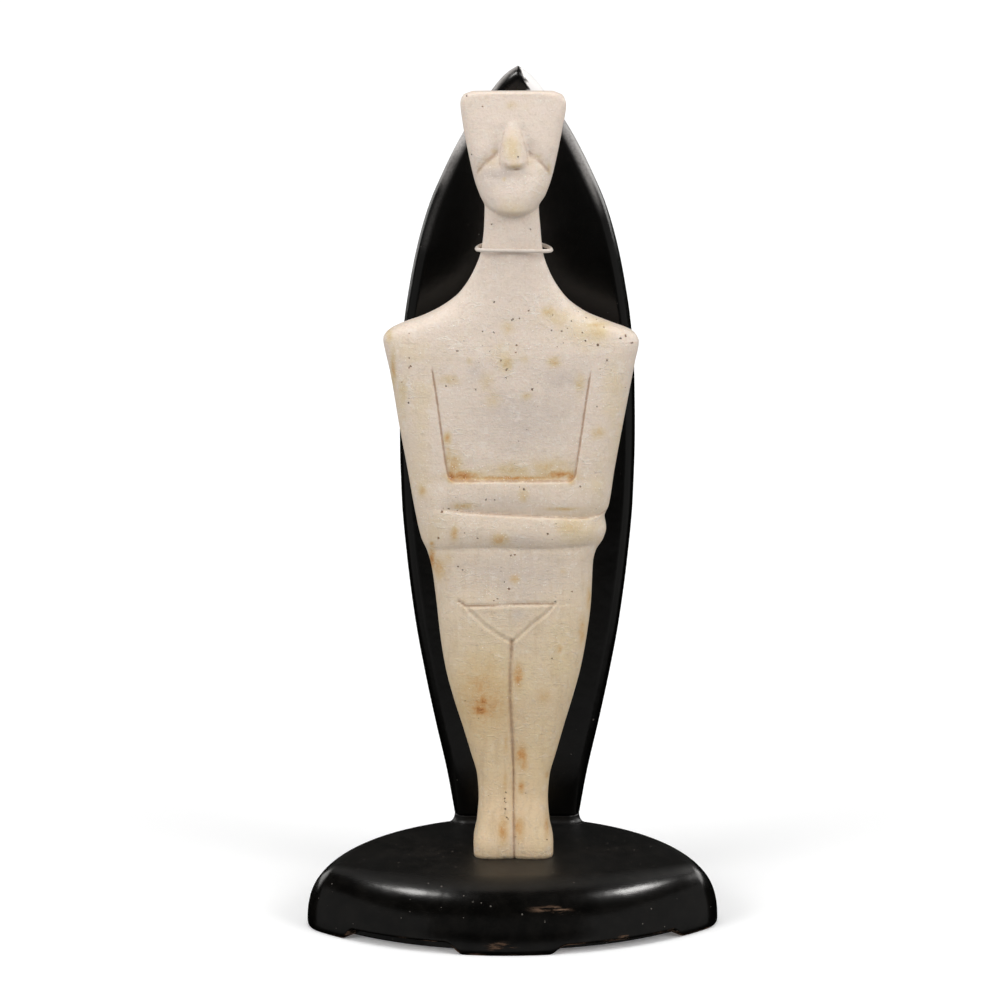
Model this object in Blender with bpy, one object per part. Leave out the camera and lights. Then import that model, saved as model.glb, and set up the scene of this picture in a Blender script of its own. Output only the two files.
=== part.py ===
"""Cycladic marble figurine on a black wooden stand, held by a wire round its neck.

The stand is a low base with bracket feet and a leaf-shaped board behind the figure.
Sizes below are in millimetres and the meshes are made in metres. The figure faces -Y,
and the origin is on the ground under the middle of the base.
"""
import bpy
import numpy as np

MM = 0.001
JOINT_GAP = 0.3

# Base: a lens-shaped plan made of a front arc, a back arc and two rounded corners,
# with a wall that rolls over into a nearly flat top. The roll's width changes with the
# number of degrees round from the front.
BASE_HALF_WIDTH = 75.8
BASE_DEPTH = 105.7
BASE_FRONT_RADIUS = 102.8
BASE_CORNER_RADIUS = 15.6
BASE_HEIGHT = 24.5
BASE_ROLL_WIDTHS = (
    (0, 19.5), (26, 15.8), (45, 11.8), (75, 13.5), (100, 15.0), (180, 15.0),
)
BASE_BACK_ROLL = 15.0
BASE_ROLL_HEIGHT = 22.6
BASE_ROLL_POWER = 0.94
BASE_SIDE_DROP = 1.7
BASE_SKEW = 0.021
BASE_EDGE_BREAK = 0.8
TOP_RINGS = (0.6, 0.25)

# Bracket feet: their places across the base, the height of the arches between, and how
# deep the arches are cut before they end on the core.
FOOT_DEPTH = 6.0
CORE_LIFT = 0.4
CORE_SLOPE = 0.7
FRONT_FOOT_CENTRE = -2.6
FRONT_FOOT_HALF = 15.5
BACK_FOOT_HALF = 20.0
FOOT_FLANK = 6.3
SIDE_FOOT_FROM = 58.5
SIDE_FOOT_FLANK = 4.0
LEFT_ARCH = 4.2
RIGHT_ARCH = 3.2

# Board: half-widths of the leaf at rising heights above the ground.
BOARD_CENTRE = 1.8
BOARD_FRONT = 31.5
BOARD_THICKNESS = 10.0
BOARD_RIM = 4.6
BOARD_FOOT = 27.5
BOARD_TIP = 311.3
BOARD_FLATS = (0.6, 0.2)
BOARD_CROWDING = 0.08
BOARD_TIP_HALF = 0.5
BOARD_OUTLINE = (
    (27.5, 23.8), (44.0, 26.7), (63.0, 30.9), (83.0, 35.0), (103.0, 38.5),
    (128.0, 41.6), (150.0, 43.4), (174.0, 44.0), (198.0, 43.6), (216.0, 42.2),
    (232.0, 39.8), (246.0, 36.9), (260.0, 32.8), (272.0, 27.7), (287.0, 20.0),
    (302.0, 9.9), (308.6, 4.2), (311.3, 0.0),
)
SEAT_FLARE = 2.4
SEAT_ROOT = 12.0

# Figurine: half-widths to the left and right, at rising heights above the soles.
FIGURE_Y = -3.0
FIGURE_SOLE = 24.8
FIGURE_HEIGHT = 280.0
LEFT_OUTLINE = (
    (0.0, 14.4), (4.0, 14.5), (11.0, 13.3), (21.0, 12.6), (29.0, 13.1), (38.0, 15.5),
    (48.0, 18.4), (59.0, 21.8), (70.0, 24.6), (82.0, 26.5), (95.0, 27.9),
    (108.0, 29.6), (114.0, 31.2), (119.0, 33.4), (129.0, 35.6), (144.0, 38.2),
    (160.0, 41.1), (179.0, 44.2), (188.0, 46.2), (191.5, 46.8), (194.2, 45.0),
    (197.0, 39.7), (199.2, 33.4), (203.2, 25.4), (208.3, 19.0), (216.6, 13.8),
    (223.0, 11.5), (232.0, 10.4), (239.0, 10.2), (243.2, 11.9), (248.6, 13.8),
    (258.2, 16.0), (268.9, 18.0), (276.0, 18.8), (278.6, 17.8), (280.0, 14.6),
)
RIGHT_OUTLINE = (
    (0.0, 15.0), (4.0, 15.0), (11.0, 13.7), (21.0, 13.0), (29.0, 13.6), (38.0, 16.0),
    (50.0, 19.3), (60.0, 22.2), (70.5, 24.9), (83.0, 27.1), (95.0, 28.5),
    (110.0, 29.2), (114.3, 30.2), (119.0, 33.0), (122.5, 33.9), (126.8, 33.3),
    (131.0, 34.8), (144.0, 36.8), (168.0, 41.1), (184.0, 44.1), (190.5, 45.3),
    (193.6, 43.6), (197.4, 34.6), (201.0, 26.1), (206.5, 18.9), (215.5, 13.1),
    (223.1, 10.6), (232.0, 9.7), (239.0, 9.2), (243.2, 11.5), (248.6, 13.5),
    (255.0, 15.1), (266.4, 17.4), (275.4, 18.8), (278.4, 17.7), (280.0, 14.6),
)

# How far the body, its back and the head's face stand out from the middle plane.
BODY_FRONT = (
    (0.0, 12.2), (3.0, 12.5), (14.0, 10.6), (24.0, 9.0), (36.0, 8.6), (50.0, 9.4),
    (62.0, 10.6), (76.0, 11.3), (92.0, 11.7), (110.0, 11.2), (122.0, 11.2),
    (150.0, 11.4), (172.0, 11.2), (185.0, 10.6), (195.0, 9.4), (206.0, 8.3),
    (216.0, 7.5), (226.0, 7.0), (236.0, 6.8), (280.0, 6.0),
)
BODY_BACK = (
    (0.0, 10.0), (3.0, 10.6), (14.0, 9.8), (24.0, 9.6), (36.0, 11.2), (50.0, 12.0),
    (64.0, 11.2), (78.0, 11.6), (92.0, 13.0), (108.0, 11.6), (120.0, 10.8),
    (150.0, 11.8), (172.0, 12.4), (186.0, 12.0), (196.0, 11.0), (206.0, 10.8),
    (220.0, 11.4), (236.0, 12.0), (250.0, 13.0), (260.0, 14.4), (268.0, 14.8),
    (274.0, 11.6), (278.0, 6.4), (280.0, 2.6),
)
HEAD_FRONT = (
    (236.0, 11.5), (240.0, 11.6), (246.0, 11.1), (252.0, 10.1), (260.0, 8.5),
    (270.0, 6.6), (277.0, 5.3), (279.4, 4.9), (280.0, 3.9),
)
SECTION_POWER = (
    (0.0, 4.2), (24.0, 3.7), (60.0, 4.4), (110.0, 4.4), (185.0, 3.8), (205.0, 2.5),
    (232.0, 2.4), (246.0, 3.0), (262.0, 4.0), (280.0, 4.4),
)

# Carved relief: heights above the soles, and how far each form stands out or is cut.
CHIN_HEIGHT = 236.2
CHIN_RISE = 3.7
CHIN_HALF = 10.3
CHIN_STEP = 2.2
NOSE_LEAN = 0.045
NOSE_HALF = ((251.6, 3.9), (254.6, 4.8), (257.5, 4.7), (262.3, 3.8), (267.5, 2.3), (271.0, 0.9))
NOSE_RAISE = ((253.6, 2.3), (257.0, 2.4), (262.0, 1.8), (266.0, 0.9), (270.5, 0.1))
NOSE_END = 252.5
NOSE_END_STEP = 3.2
VALLEY_CREST = 260.6
VALLEY_ARCH = 9.3
VALLEY_DEPTH = 0.75
VALLEY_ABOVE = 3.6
VALLEY_BELOW = 9.0
CHEST_DEPTH = ((141.0, 1.5), (150.0, 1.0), (162.0, 0.7), (174.0, 0.45), (186.0, 0.0))
CHEST_HALF = ((141.0, 22.5), (160.0, 25.0), (184.0, 28.7))
CHEST_EDGE = 1.0
ARMS_TOP = 141.0
ARMS_GROOVE = ((-26.0, 130.3), (-1.0, 128.6), (25.5, 127.5), (34.0, 129.6))
ARMS_FOOT = 116.4
UPPER_ARM_RAISE = 0.9
LOWER_ARM_RAISE = 1.5
SHOULDER_RAISE = 0.7
ARMS_EDGE = 0.9
ARMS_FADE = 45.0
GROOVE_HALF = 1.0
GROOVE_DEPTH = 0.8
CLEFT_TOP = 82.0
CLEFT_HALF = 1.6
CLEFT_DEPTH = 1.1
CLEFT_FADE = 6.0
RELIEF_FADE = 0.6

# Wire: the right half of its loop in plan, from the neck's front to the board.
WIRE_HEIGHT = 248.8
WIRE_RADIUS = 0.7
WIRE_CENTRE = 0.3
WIRE_ROUTE = (
    (0.0, -11.1), (8.4, -11.1), (11.6, -10.6), (13.1, -8.9), (13.3, -6.6),
    (12.6, 0.0), (10.6, 7.0), (7.6, 15.0), (4.6, 24.0), (3.2, 31.2),
)
WIRE_STEP = 2.0

FIGURE_ROWS = 84
FRONT_COLUMNS = 22
BACK_COLUMNS = 14
BASE_COLUMNS = 72
ROLL_TURNS = (15, 30, 42, 54, 66, 78, 90)
BOARD_ROWS = 34
RIM_STEPS = 4


def clear_scene():
    for item in list(bpy.data.objects):
        bpy.data.objects.remove(item, do_unlink=True)


def through(stations, at):
    """Smooth curve through (place, value) stations that never overshoots them."""
    places, values = np.array(stations, float).T
    steps = np.diff(places)
    rises = np.diff(values) / steps
    product = rises[:-1] * rises[1:]
    total = rises[:-1] + rises[1:]
    slopes = np.concatenate([rises[:1], np.zeros(len(rises) - 1), rises[-1:]])
    turning = product <= 0
    slopes[1:-1] = np.where(turning, 0, 2 * product / np.where(turning, 1, total))
    at = np.clip(at, places[0], places[-1])
    i = np.clip(np.searchsorted(places, at, side="right") - 1, 0, len(steps) - 1)
    t = (at - places[i]) / steps[i]
    level = values[i] + (values[i + 1] - values[i]) * t * t * (3 - 2 * t)
    lean = slopes[i] * t * (1 - t) ** 2 - slopes[i + 1] * t * t * (1 - t)
    return level + lean * steps[i]


def ramp(value, start, end):
    """0 up to start, 1 from end on, and an even S between them."""
    t = np.clip((value - start) / (end - start), 0, 1)
    return t * t * (3 - 2 * t)


def principled(name, colour, roughness):
    material = bpy.data.materials.new(name)
    material.use_nodes = True
    shader = material.node_tree.nodes["Principled BSDF"]
    shader.inputs["Base Color"].default_value = (*colour, 1.0)
    shader.inputs["Roughness"].default_value = roughness
    shader.inputs["Metallic"].default_value = 0.0
    return material


def add_object(name, points, faces, material):
    mesh = bpy.data.meshes.new(name)
    mesh.from_pydata((np.asarray(points) * MM).tolist(), [], faces)
    mesh.materials.append(material)
    mesh.shade_smooth()
    piece = bpy.data.objects.new(name, mesh)
    bpy.context.scene.collection.objects.link(piece)
    return piece


def closed_stack(rings, tip=None):
    """Skin of triangles over a stack of equal rings, closed at a point at both ends.

    The rings run counter-clockwise seen from above, and from the lowest to the highest.
    """
    rings = np.asarray(rings, float)
    count, around = rings.shape[:2]
    top = rings[-1].mean(axis=0) if tip is None else np.asarray(tip, float)
    points = np.vstack([rings.reshape(-1, 3), rings[0].mean(axis=0), top])
    low, high = count * around, count * around + 1
    last = (count - 1) * around
    faces = []
    for k in range(around):
        n = (k + 1) % around
        faces.append((low, n, k))
        faces.append((high, last + k, last + n))
        for start in range(0, last, around):
            a, b = start + k, start + n
            faces.append((a, b, b + around))
            faces.append((a, b + around, a + around))
    return points, faces


def base_arcs():
    """The lens as arcs (centre x, centre y, radius, start, turn), from the front."""
    front, corner = BASE_FRONT_RADIUS, BASE_CORNER_RADIUS
    side_x = BASE_HALF_WIDTH - corner
    side_y = front - np.sqrt((front - corner) ** 2 - side_x ** 2)
    reach = BASE_DEPTH - side_y
    back = (side_x ** 2 + reach ** 2 - corner ** 2) / (2 * (reach - corner))
    front_turn = np.arctan2(side_x, front - side_y)
    back_turn = np.arctan2(side_x, back - reach)
    side_turn = np.pi - front_turn - back_turn
    quarter = np.pi / 2
    middle = BASE_DEPTH / 2
    return np.array((
        (0.0, front - middle, front, -quarter, front_turn),
        (side_x, side_y - middle, corner, front_turn - quarter, side_turn),
        (0.0, middle - back, back, quarter - back_turn, 2 * back_turn),
        (-side_x, side_y - middle, corner, quarter + back_turn, side_turn),
        (0.0, front - middle, front, 3 * quarter - front_turn, front_turn),
    ))


def base_plan(count):
    """Places and outward normals, evenly spaced round the lens."""
    arcs = base_arcs()
    ends = np.concatenate([[0], np.cumsum(arcs[:, 2] * arcs[:, 4])])
    along = np.arange(count) / count * ends[-1]
    which = np.clip(np.searchsorted(ends, along, side="right") - 1, 0, len(arcs) - 1)
    x, y, radius, start, _ = arcs[which].T
    angle = start + (along - ends[which]) / radius
    normal = np.stack([np.cos(angle), np.sin(angle)], 1)
    return np.stack([x, y], 1) + normal * radius[:, None], normal


def base_top(x, y):
    """Height of the base's upper side over the rear part of the plan."""
    _, back_y, back, _, _ = base_arcs()[2]
    inset = np.clip(back - np.hypot(x, y - BASE_SKEW * x - back_y), 0, BASE_BACK_ROLL)
    turn = np.arccos((1 - inset / BASE_BACK_ROLL) ** (1 / BASE_ROLL_POWER))
    low = BASE_HEIGHT - BASE_ROLL_HEIGHT
    return low + BASE_ROLL_HEIGHT * np.sin(turn) ** BASE_ROLL_POWER - side_drop(x)


def side_drop(x):
    return BASE_SIDE_DROP * (x / BASE_HALF_WIDTH) ** 2


def foot_lift(place):
    """Height of the base's lower edge: nothing at a foot, an arch between two feet."""
    x, y = place.T
    arch = np.where(x < 0, LEFT_ARCH, RIGHT_ARCH)
    middle = np.where(y < 0, FRONT_FOOT_CENTRE, 0.0)
    half = np.where(y < 0, FRONT_FOOT_HALF, BACK_FOOT_HALF)
    past_middle = ramp(np.abs(x - middle), half, half + FOOT_FLANK)
    before_side = 1 - ramp(np.abs(x), SIDE_FOOT_FROM, SIDE_FOOT_FROM + SIDE_FOOT_FLANK)
    return arch * past_middle * before_side


def base_rings():
    """Rings from the core under the base, round the feet, and over onto the top."""
    place, normal = base_plan(BASE_COLUMNS)
    lift = foot_lift(place)
    facing = np.degrees(np.arctan2(np.abs(normal[:, 0]), -normal[:, 1]))
    roll_width = through(BASE_ROLL_WIDTHS, facing)[:, None]
    wall = np.maximum(BASE_HEIGHT - BASE_ROLL_HEIGHT, lift + BASE_EDGE_BREAK)

    def ring(inset, height, sags=0.0):
        x, y = (place - normal * inset).T
        drop = side_drop(x) * sags
        return np.stack([x, y + BASE_SKEW * x, height - drop], 1)

    rings = [
        ring(FOOT_DEPTH + CORE_SLOPE, CORE_LIFT),
        ring(FOOT_DEPTH, lift),
        ring(BASE_EDGE_BREAK, lift),
        ring(0.0, wall),
    ]
    for turn in np.radians(ROLL_TURNS):
        inset = roll_width * (1 - max(np.cos(turn), 0.0) ** BASE_ROLL_POWER)
        rise = np.sin(turn) ** BASE_ROLL_POWER
        rings.append(ring(inset, wall + (BASE_HEIGHT - wall) * rise, rise))
    edge = rings[-1]
    for share in TOP_RINGS:
        inner = edge * (share, share, 1)
        inner[:, 2] = BASE_HEIGHT - side_drop(inner[:, 0])
        rings.append(inner)
    return rings


def board_slope(height):
    """How fast the leaf's edge runs inwards or outwards as it rises."""
    above, below = height + 0.5, height - 0.5
    return through(BOARD_OUTLINE, above) - through(BOARD_OUTLINE, below)


def board_section(height):
    """One level of the board: flat faces joined by a rounded rim, in plan."""
    half = through(BOARD_OUTLINE, height)
    square = 1 / np.hypot(1, board_slope(height))
    widest_turn = np.arccos(1 - min(half * square / BOARD_RIM, 1.0))
    turn = np.linspace(0, widest_turn, RIM_STEPS + 1)
    rim_x = half - BOARD_RIM * (1 - np.cos(turn)) / square
    rim_y = BOARD_THICKNESS / 2 * np.sin(turn)
    flat_x = rim_x[-1] * np.array(BOARD_FLATS)
    x = np.concatenate([rim_x, flat_x])
    y = np.concatenate([rim_y, rim_y[-1:], rim_y[-1:]])
    right_back = np.stack([x, y], 1)
    left_back = (right_back * (-1, 1))[::-1]
    left_front = (right_back * (-1, -1))[1:]
    right_front = (right_back * (1, -1))[::-1][:-1]
    section = np.vstack([right_back, left_back, left_front, right_front])
    return section + (BOARD_CENTRE, BOARD_FRONT + BOARD_THICKNESS / 2)


def outward(section):
    """Outward normals of a section that runs counter-clockwise."""
    along = np.roll(section, -1, axis=0) - np.roll(section, 1, axis=0)
    normal = np.stack([along[:, 1], -along[:, 0]], 1)
    return normal / np.linalg.norm(normal, axis=1)[:, None]


def seat_rings():
    """The raised seat under the board: its flare hollows out onto the base's top."""
    section = board_section(BOARD_FOOT)
    normal = outward(section)
    seat = BOARD_FOOT - JOINT_GAP
    land = section + normal * SEAT_FLARE
    ground = base_top(land[:, 0], land[:, 1])
    root = section - normal
    rings = [
        np.column_stack([root, np.full(len(root), SEAT_ROOT)]),
        np.column_stack([land, np.maximum(ground - SEAT_FLARE, SEAT_ROOT + 1)]),
    ]
    for turn in np.radians((90, 65, 40, 20, 0)):
        plan = section + normal * SEAT_FLARE * (1 - np.cos(turn))
        height = seat - (seat - ground) * np.sin(turn)
        rings.append(np.column_stack([plan, height]))
    return rings


def build_base(lacquer):
    base = add_object("stand_base", *closed_stack(base_rings()), lacquer)
    seat = add_object("seat_tool", *closed_stack(seat_rings()), lacquer)
    seat.hide_render = True
    seat.display_type = "WIRE"
    union = base.modifiers.new("seat", "BOOLEAN")
    union.operation = "UNION"
    union.solver = "EXACT"
    union.object = seat
    return base


def build_board(lacquer):
    share = np.linspace(0, 1, BOARD_ROWS)
    spread = share + BOARD_CROWDING * np.sin(2 * np.pi * share)
    heights = BOARD_FOOT + (BOARD_TIP - BOARD_TIP_HALF - BOARD_FOOT) * spread
    rings = []
    for height in heights:
        section = board_section(height)
        rings.append(np.column_stack([section, np.full(len(section), height)]))
    tip = (BOARD_CENTRE, BOARD_FRONT + BOARD_THICKNESS / 2, BOARD_TIP)
    return add_object("stand_back", *closed_stack(rings, tip), lacquer)


def figure_heights():
    """Levels spread evenly along the outline, so the flat shoulders get their share."""
    fine = np.linspace(0, FIGURE_HEIGHT, 1401)
    width = through(LEFT_OUTLINE, fine)
    steps = np.hypot(np.diff(fine), np.diff(width))
    along = np.concatenate([[0], np.cumsum(steps)])
    return np.interp(np.linspace(0, along[-1], FIGURE_ROWS), along, fine)


def chest_sink(x, z):
    """The chest lies lower than the arms, deepest just above the forearms."""
    half = through(CHEST_HALF, z)
    inside = 1 - ramp(np.abs(x), half - CHEST_EDGE, half)
    above = ramp(z, ARMS_TOP - CHEST_EDGE, ARMS_TOP)
    return -through(CHEST_DEPTH, z) * inside * above


def forearm_raise(x, z):
    """Two forearms laid one above the other, with a groove between them."""
    groove = through(ARMS_GROOVE, x)
    upper = ramp(z, groove - ARMS_EDGE, groove + ARMS_EDGE)
    raised = LOWER_ARM_RAISE + (UPPER_ARM_RAISE - LOWER_ARM_RAISE) * upper
    raised = raised * ramp(z, ARMS_FOOT - ARMS_EDGE, ARMS_FOOT + ARMS_EDGE)
    shoulder = SHOULDER_RAISE * (1 - ramp(z, ARMS_TOP, ARMS_TOP + ARMS_FADE))
    cut = GROOVE_DEPTH * np.exp(-((z - groove) / GROOVE_HALF) ** 2)
    return np.where(z > ARMS_TOP, shoulder, raised) - cut


def leg_cleft(x, z):
    """The line between the legs, from the groin down to the soles."""
    below = 1 - ramp(z, CLEFT_TOP - CLEFT_FADE, CLEFT_TOP)
    return -CLEFT_DEPTH * below * np.exp(-(x / CLEFT_HALF) ** 2)


def nose_raise(x, z):
    """A long wedge that widens and stands out more towards its blunt end."""
    off = np.abs(x - NOSE_LEAN * (NOSE_RAISE[2][0] - z))
    ridge = np.clip(1 - (off / through(NOSE_HALF, z)) ** 2, 0, 1)
    below_top = z < NOSE_HALF[-1][0]
    return through(NOSE_RAISE, z) * ridge * below_top * ramp(z, NOSE_END, NOSE_END + NOSE_END_STEP)


def cheek_valleys(x, z):
    """An arched valley over each cheek, with a short upper and a long lower slope."""
    above = z - VALLEY_CREST + VALLEY_ARCH * (x / 13.5) ** 2
    slope = np.where(above > 0, np.exp(-(above / VALLEY_ABOVE) ** 2), 1 - ramp(-above, 0, VALLEY_BELOW))
    beside = ramp(np.abs(x), 2.5, 6.0) * (1 - ramp(np.abs(x), 12.5, 16.0))
    return -VALLEY_DEPTH * slope * beside * (z > CHIN_HEIGHT)


def figure_rings():
    z = figure_heights()[:, None]
    front_turn = -np.pi + np.pi * np.arange(FRONT_COLUMNS) / FRONT_COLUMNS
    back_turn = np.pi * np.arange(BACK_COLUMNS) / BACK_COLUMNS
    turn = np.concatenate([front_turn, back_turn])[None, :]
    across, out = np.cos(turn), -np.sin(turn)
    round_off = 2 / through(SECTION_POWER, z)
    half = np.where(across < 0, through(LEFT_OUTLINE, z), through(RIGHT_OUTLINE, z))
    x = half * np.sign(across) * np.abs(across) ** round_off
    bulge = np.abs(out) ** round_off
    chin = CHIN_HEIGHT + CHIN_RISE * (x / CHIN_HALF) ** 2
    head = ramp(z, chin, chin + CHIN_STEP)
    front = through(BODY_FRONT, z) * (1 - head) + through(HEAD_FRONT, z) * head
    relief = chest_sink(x, z) + forearm_raise(x, z) + leg_cleft(x, z)
    relief = relief + nose_raise(x, z) + cheek_valleys(x, z)
    front_y = -front * bulge - relief * ramp(bulge, 0.0, RELIEF_FADE)
    back_y = through(BODY_BACK, z) * bulge
    y = np.where(out > 0, front_y, back_y)
    place = np.stack(np.broadcast_arrays(x, y + FIGURE_Y, z + FIGURE_SOLE), 2)
    return place


def build_figurine(marble):
    return add_object("figurine", *closed_stack(figure_rings()), marble)


def wire_points():
    """The whole loop: the half route through its points, and its mirror image."""
    half = np.array(WIRE_ROUTE)
    chord = np.concatenate([[0], np.cumsum(np.hypot(*np.diff(half, axis=0).T))])
    count = int(chord[-1] / WIRE_STEP) + 1
    at = np.linspace(0, chord[-1], count)
    x = through(np.column_stack([chord, half[:, 0]]), at)
    y = through(np.column_stack([chord, half[:, 1]]), at)
    right = np.stack([x, y], 1)
    loop = np.vstack([(right * (-1, 1))[:0:-1], right])
    return np.column_stack([loop + (WIRE_CENTRE, 0), np.full(len(loop), WIRE_HEIGHT)])


def build_wire(paint):
    points = wire_points() * MM
    curve = bpy.data.curves.new("neck_wire", "CURVE")
    curve.dimensions = "3D"
    curve.bevel_depth = WIRE_RADIUS * MM
    curve.bevel_resolution = 2
    curve.use_fill_caps = True
    spline = curve.splines.new("POLY")
    spline.points.add(len(points) - 1)
    for point, place in zip(spline.points, points):
        point.co = (*place, 1.0)
    curve.materials.append(paint)
    wire = bpy.data.objects.new("neck_wire", curve)
    bpy.context.scene.collection.objects.link(wire)
    return wire


def main():
    clear_scene()
    marble = principled("marble", (0.80, 0.74, 0.65), 0.55)
    lacquer = principled("black_lacquer", (0.012, 0.011, 0.010), 0.28)
    paint = principled("wire_paint", (0.82, 0.76, 0.72), 0.45)
    build_base(lacquer)
    build_board(lacquer)
    build_figurine(marble)
    build_wire(paint)


main()
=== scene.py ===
# %% [markdown]
# # A Cycladic figurine on its stand
#
# A marble figurine with folded arms, 28 cm tall, stands on a low black base. A
# leaf-shaped board rises behind it, and a painted wire ties its neck to the board.
# The CAD model has settled where everything is and how large. This lesson gives each
# piece its finer skin, with carving that is a fraction of a millimetre deep, and then
# its finish. We start from the fixed frame, so that nothing has to be fitted later.

# %% Load the fixed frame
import bpy
import numpy as np
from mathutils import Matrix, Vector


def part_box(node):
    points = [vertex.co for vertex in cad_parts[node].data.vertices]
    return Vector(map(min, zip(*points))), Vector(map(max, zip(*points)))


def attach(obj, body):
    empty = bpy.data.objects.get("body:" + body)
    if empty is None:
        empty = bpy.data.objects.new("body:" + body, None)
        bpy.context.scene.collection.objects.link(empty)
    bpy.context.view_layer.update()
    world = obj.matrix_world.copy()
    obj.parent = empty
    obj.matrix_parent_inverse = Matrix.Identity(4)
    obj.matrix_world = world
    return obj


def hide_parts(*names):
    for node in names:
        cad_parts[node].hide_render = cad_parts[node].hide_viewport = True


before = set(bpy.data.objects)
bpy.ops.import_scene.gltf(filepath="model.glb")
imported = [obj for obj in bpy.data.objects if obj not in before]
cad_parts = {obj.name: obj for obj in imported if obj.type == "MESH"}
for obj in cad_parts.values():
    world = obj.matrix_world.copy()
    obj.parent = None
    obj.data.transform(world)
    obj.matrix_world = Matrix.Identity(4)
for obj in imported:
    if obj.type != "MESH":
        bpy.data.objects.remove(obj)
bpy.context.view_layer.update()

# %% [markdown]
# Makers think in millimetres and Blender in metres. We work in millimetres with Z up
# and the figure facing -Y, and turn to metres only when a mesh is made. Every piece
# takes its place from the box of the CAD node that it stands for.

# %% Sizes and places come from the CAD nodes
MM = 0.001


def node_box(node):
    """A CAD node's lowest and highest corners, in millimetres."""
    low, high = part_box(node)
    return np.array(low) / MM, np.array(high) / MM


# %% [markdown]
# Hand-carved shapes have no simple formula, so we write down a few stations, such as
# how wide the figure is at a given height, and let a smooth curve run through them.
# An ordinary spline would bulge between stations that lie close together. The curve
# here is monotone: its slope at a station is the harmonic mean of the slopes on both
# sides, and nothing where they disagree, so it never swings past a station.

# %% Curves that pass through stations
def through(stations, at):
    """Smooth curve through (place, value) stations, cubic between each two of them."""
    places, values = np.array(stations, float).T
    steps = np.diff(places)
    rises = np.diff(values) / steps
    product = rises[:-1] * rises[1:]
    total = rises[:-1] + rises[1:]
    turning = product <= 0
    inner = np.where(turning, 0, 2 * product / np.where(turning, 1, total))
    slopes = np.concatenate([rises[:1], inner, rises[-1:]])
    at = np.clip(at, places[0], places[-1])
    i = np.clip(np.searchsorted(places, at, side="right") - 1, 0, len(steps) - 1)
    t = (at - places[i]) / steps[i]
    level = values[i] + (values[i + 1] - values[i]) * t * t * (3 - 2 * t)
    lean = slopes[i] * t * (1 - t) ** 2 - slopes[i + 1] * t * t * (1 - t)
    return level + lean * steps[i]


def ramp(value, start, end):
    """0 up to start, 1 from end on, and an even S between: 3t2 - 2t3."""
    t = np.clip((value - start) / (end - start), 0, 1)
    return t * t * (3 - 2 * t)


def between(value, start, end, soft):
    """1 from start to end and 0 outside, with soft shoulders of that width."""
    return ramp(value, start - soft, start) * (1 - ramp(value, end, end + soft))


def hump(distance, half):
    """A bell: 1 where the distance is nothing, e to the minus one at its half width."""
    return np.exp(-(distance / half) ** 2)


print("halfway up a ramp from 0 to 10 is", float(ramp(5.0, 0.0, 10.0)))

# %% [markdown]
# The outline of the figurine comes first. It was carved from a slab, so its two
# outlines, left and right, say most about it. They differ a little, as hand work does:
# the right side has a notch where one forearm lies on the other, and the left hasn't.

# %% The figurine's two outlines
figure_low, figure_high = node_box("figurine")
SOLE = figure_low[2]
TALL = figure_high[2] - figure_low[2]
MIDDLE_Y = -3.0
LEFT_OUTLINE = (
    (0.0, 14.4), (4.0, 14.5), (11.0, 13.3), (21.0, 12.6), (29.0, 13.1), (38.0, 15.5),
    (48.0, 18.4), (59.0, 21.8), (70.0, 24.6), (82.0, 26.5), (95.0, 27.9),
    (108.0, 29.6), (114.0, 31.2), (119.0, 33.4), (129.0, 35.6), (144.0, 38.2),
    (160.0, 41.1), (179.0, 44.2), (188.0, 46.2), (191.5, 46.8), (194.2, 45.0),
    (197.0, 39.7), (199.2, 33.4), (203.2, 25.4), (208.3, 19.0), (216.6, 13.8),
    (223.0, 11.5), (232.0, 10.4), (239.0, 10.2), (243.2, 11.9), (248.6, 13.8),
    (258.2, 16.0), (268.9, 18.0), (276.0, 18.8), (278.6, 17.8), (280.0, 14.6),
)
RIGHT_OUTLINE = (
    (0.0, 15.0), (4.0, 15.0), (11.0, 13.7), (21.0, 13.0), (29.0, 13.6), (38.0, 16.0),
    (50.0, 19.3), (60.0, 22.2), (70.5, 24.9), (83.0, 27.1), (95.0, 28.5),
    (110.0, 29.2), (114.3, 30.2), (119.0, 33.0), (122.5, 33.9), (126.8, 33.3),
    (131.0, 34.8), (144.0, 36.8), (168.0, 41.1), (184.0, 44.1), (190.5, 45.3),
    (193.6, 43.6), (197.4, 34.6), (201.0, 26.1), (206.5, 18.9), (215.5, 13.1),
    (223.1, 10.6), (232.0, 9.7), (239.0, 9.2), (243.2, 11.5), (248.6, 13.5),
    (255.0, 15.1), (266.4, 17.4), (275.4, 18.8), (278.4, 17.7), (280.0, 14.6),
)
print("the figurine is", round(TALL, 1), "mm tall, on soles", round(SOLE, 1), "mm up")

# %% [markdown]
# Seen from the side the slab is thin: a flat belly and chest, a neck that leans back,
# and a head whose face tilts up to the sky. Across, each level is a superellipse: the
# bigger its power, the flatter the front and the tighter the turn at the edges.

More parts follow.
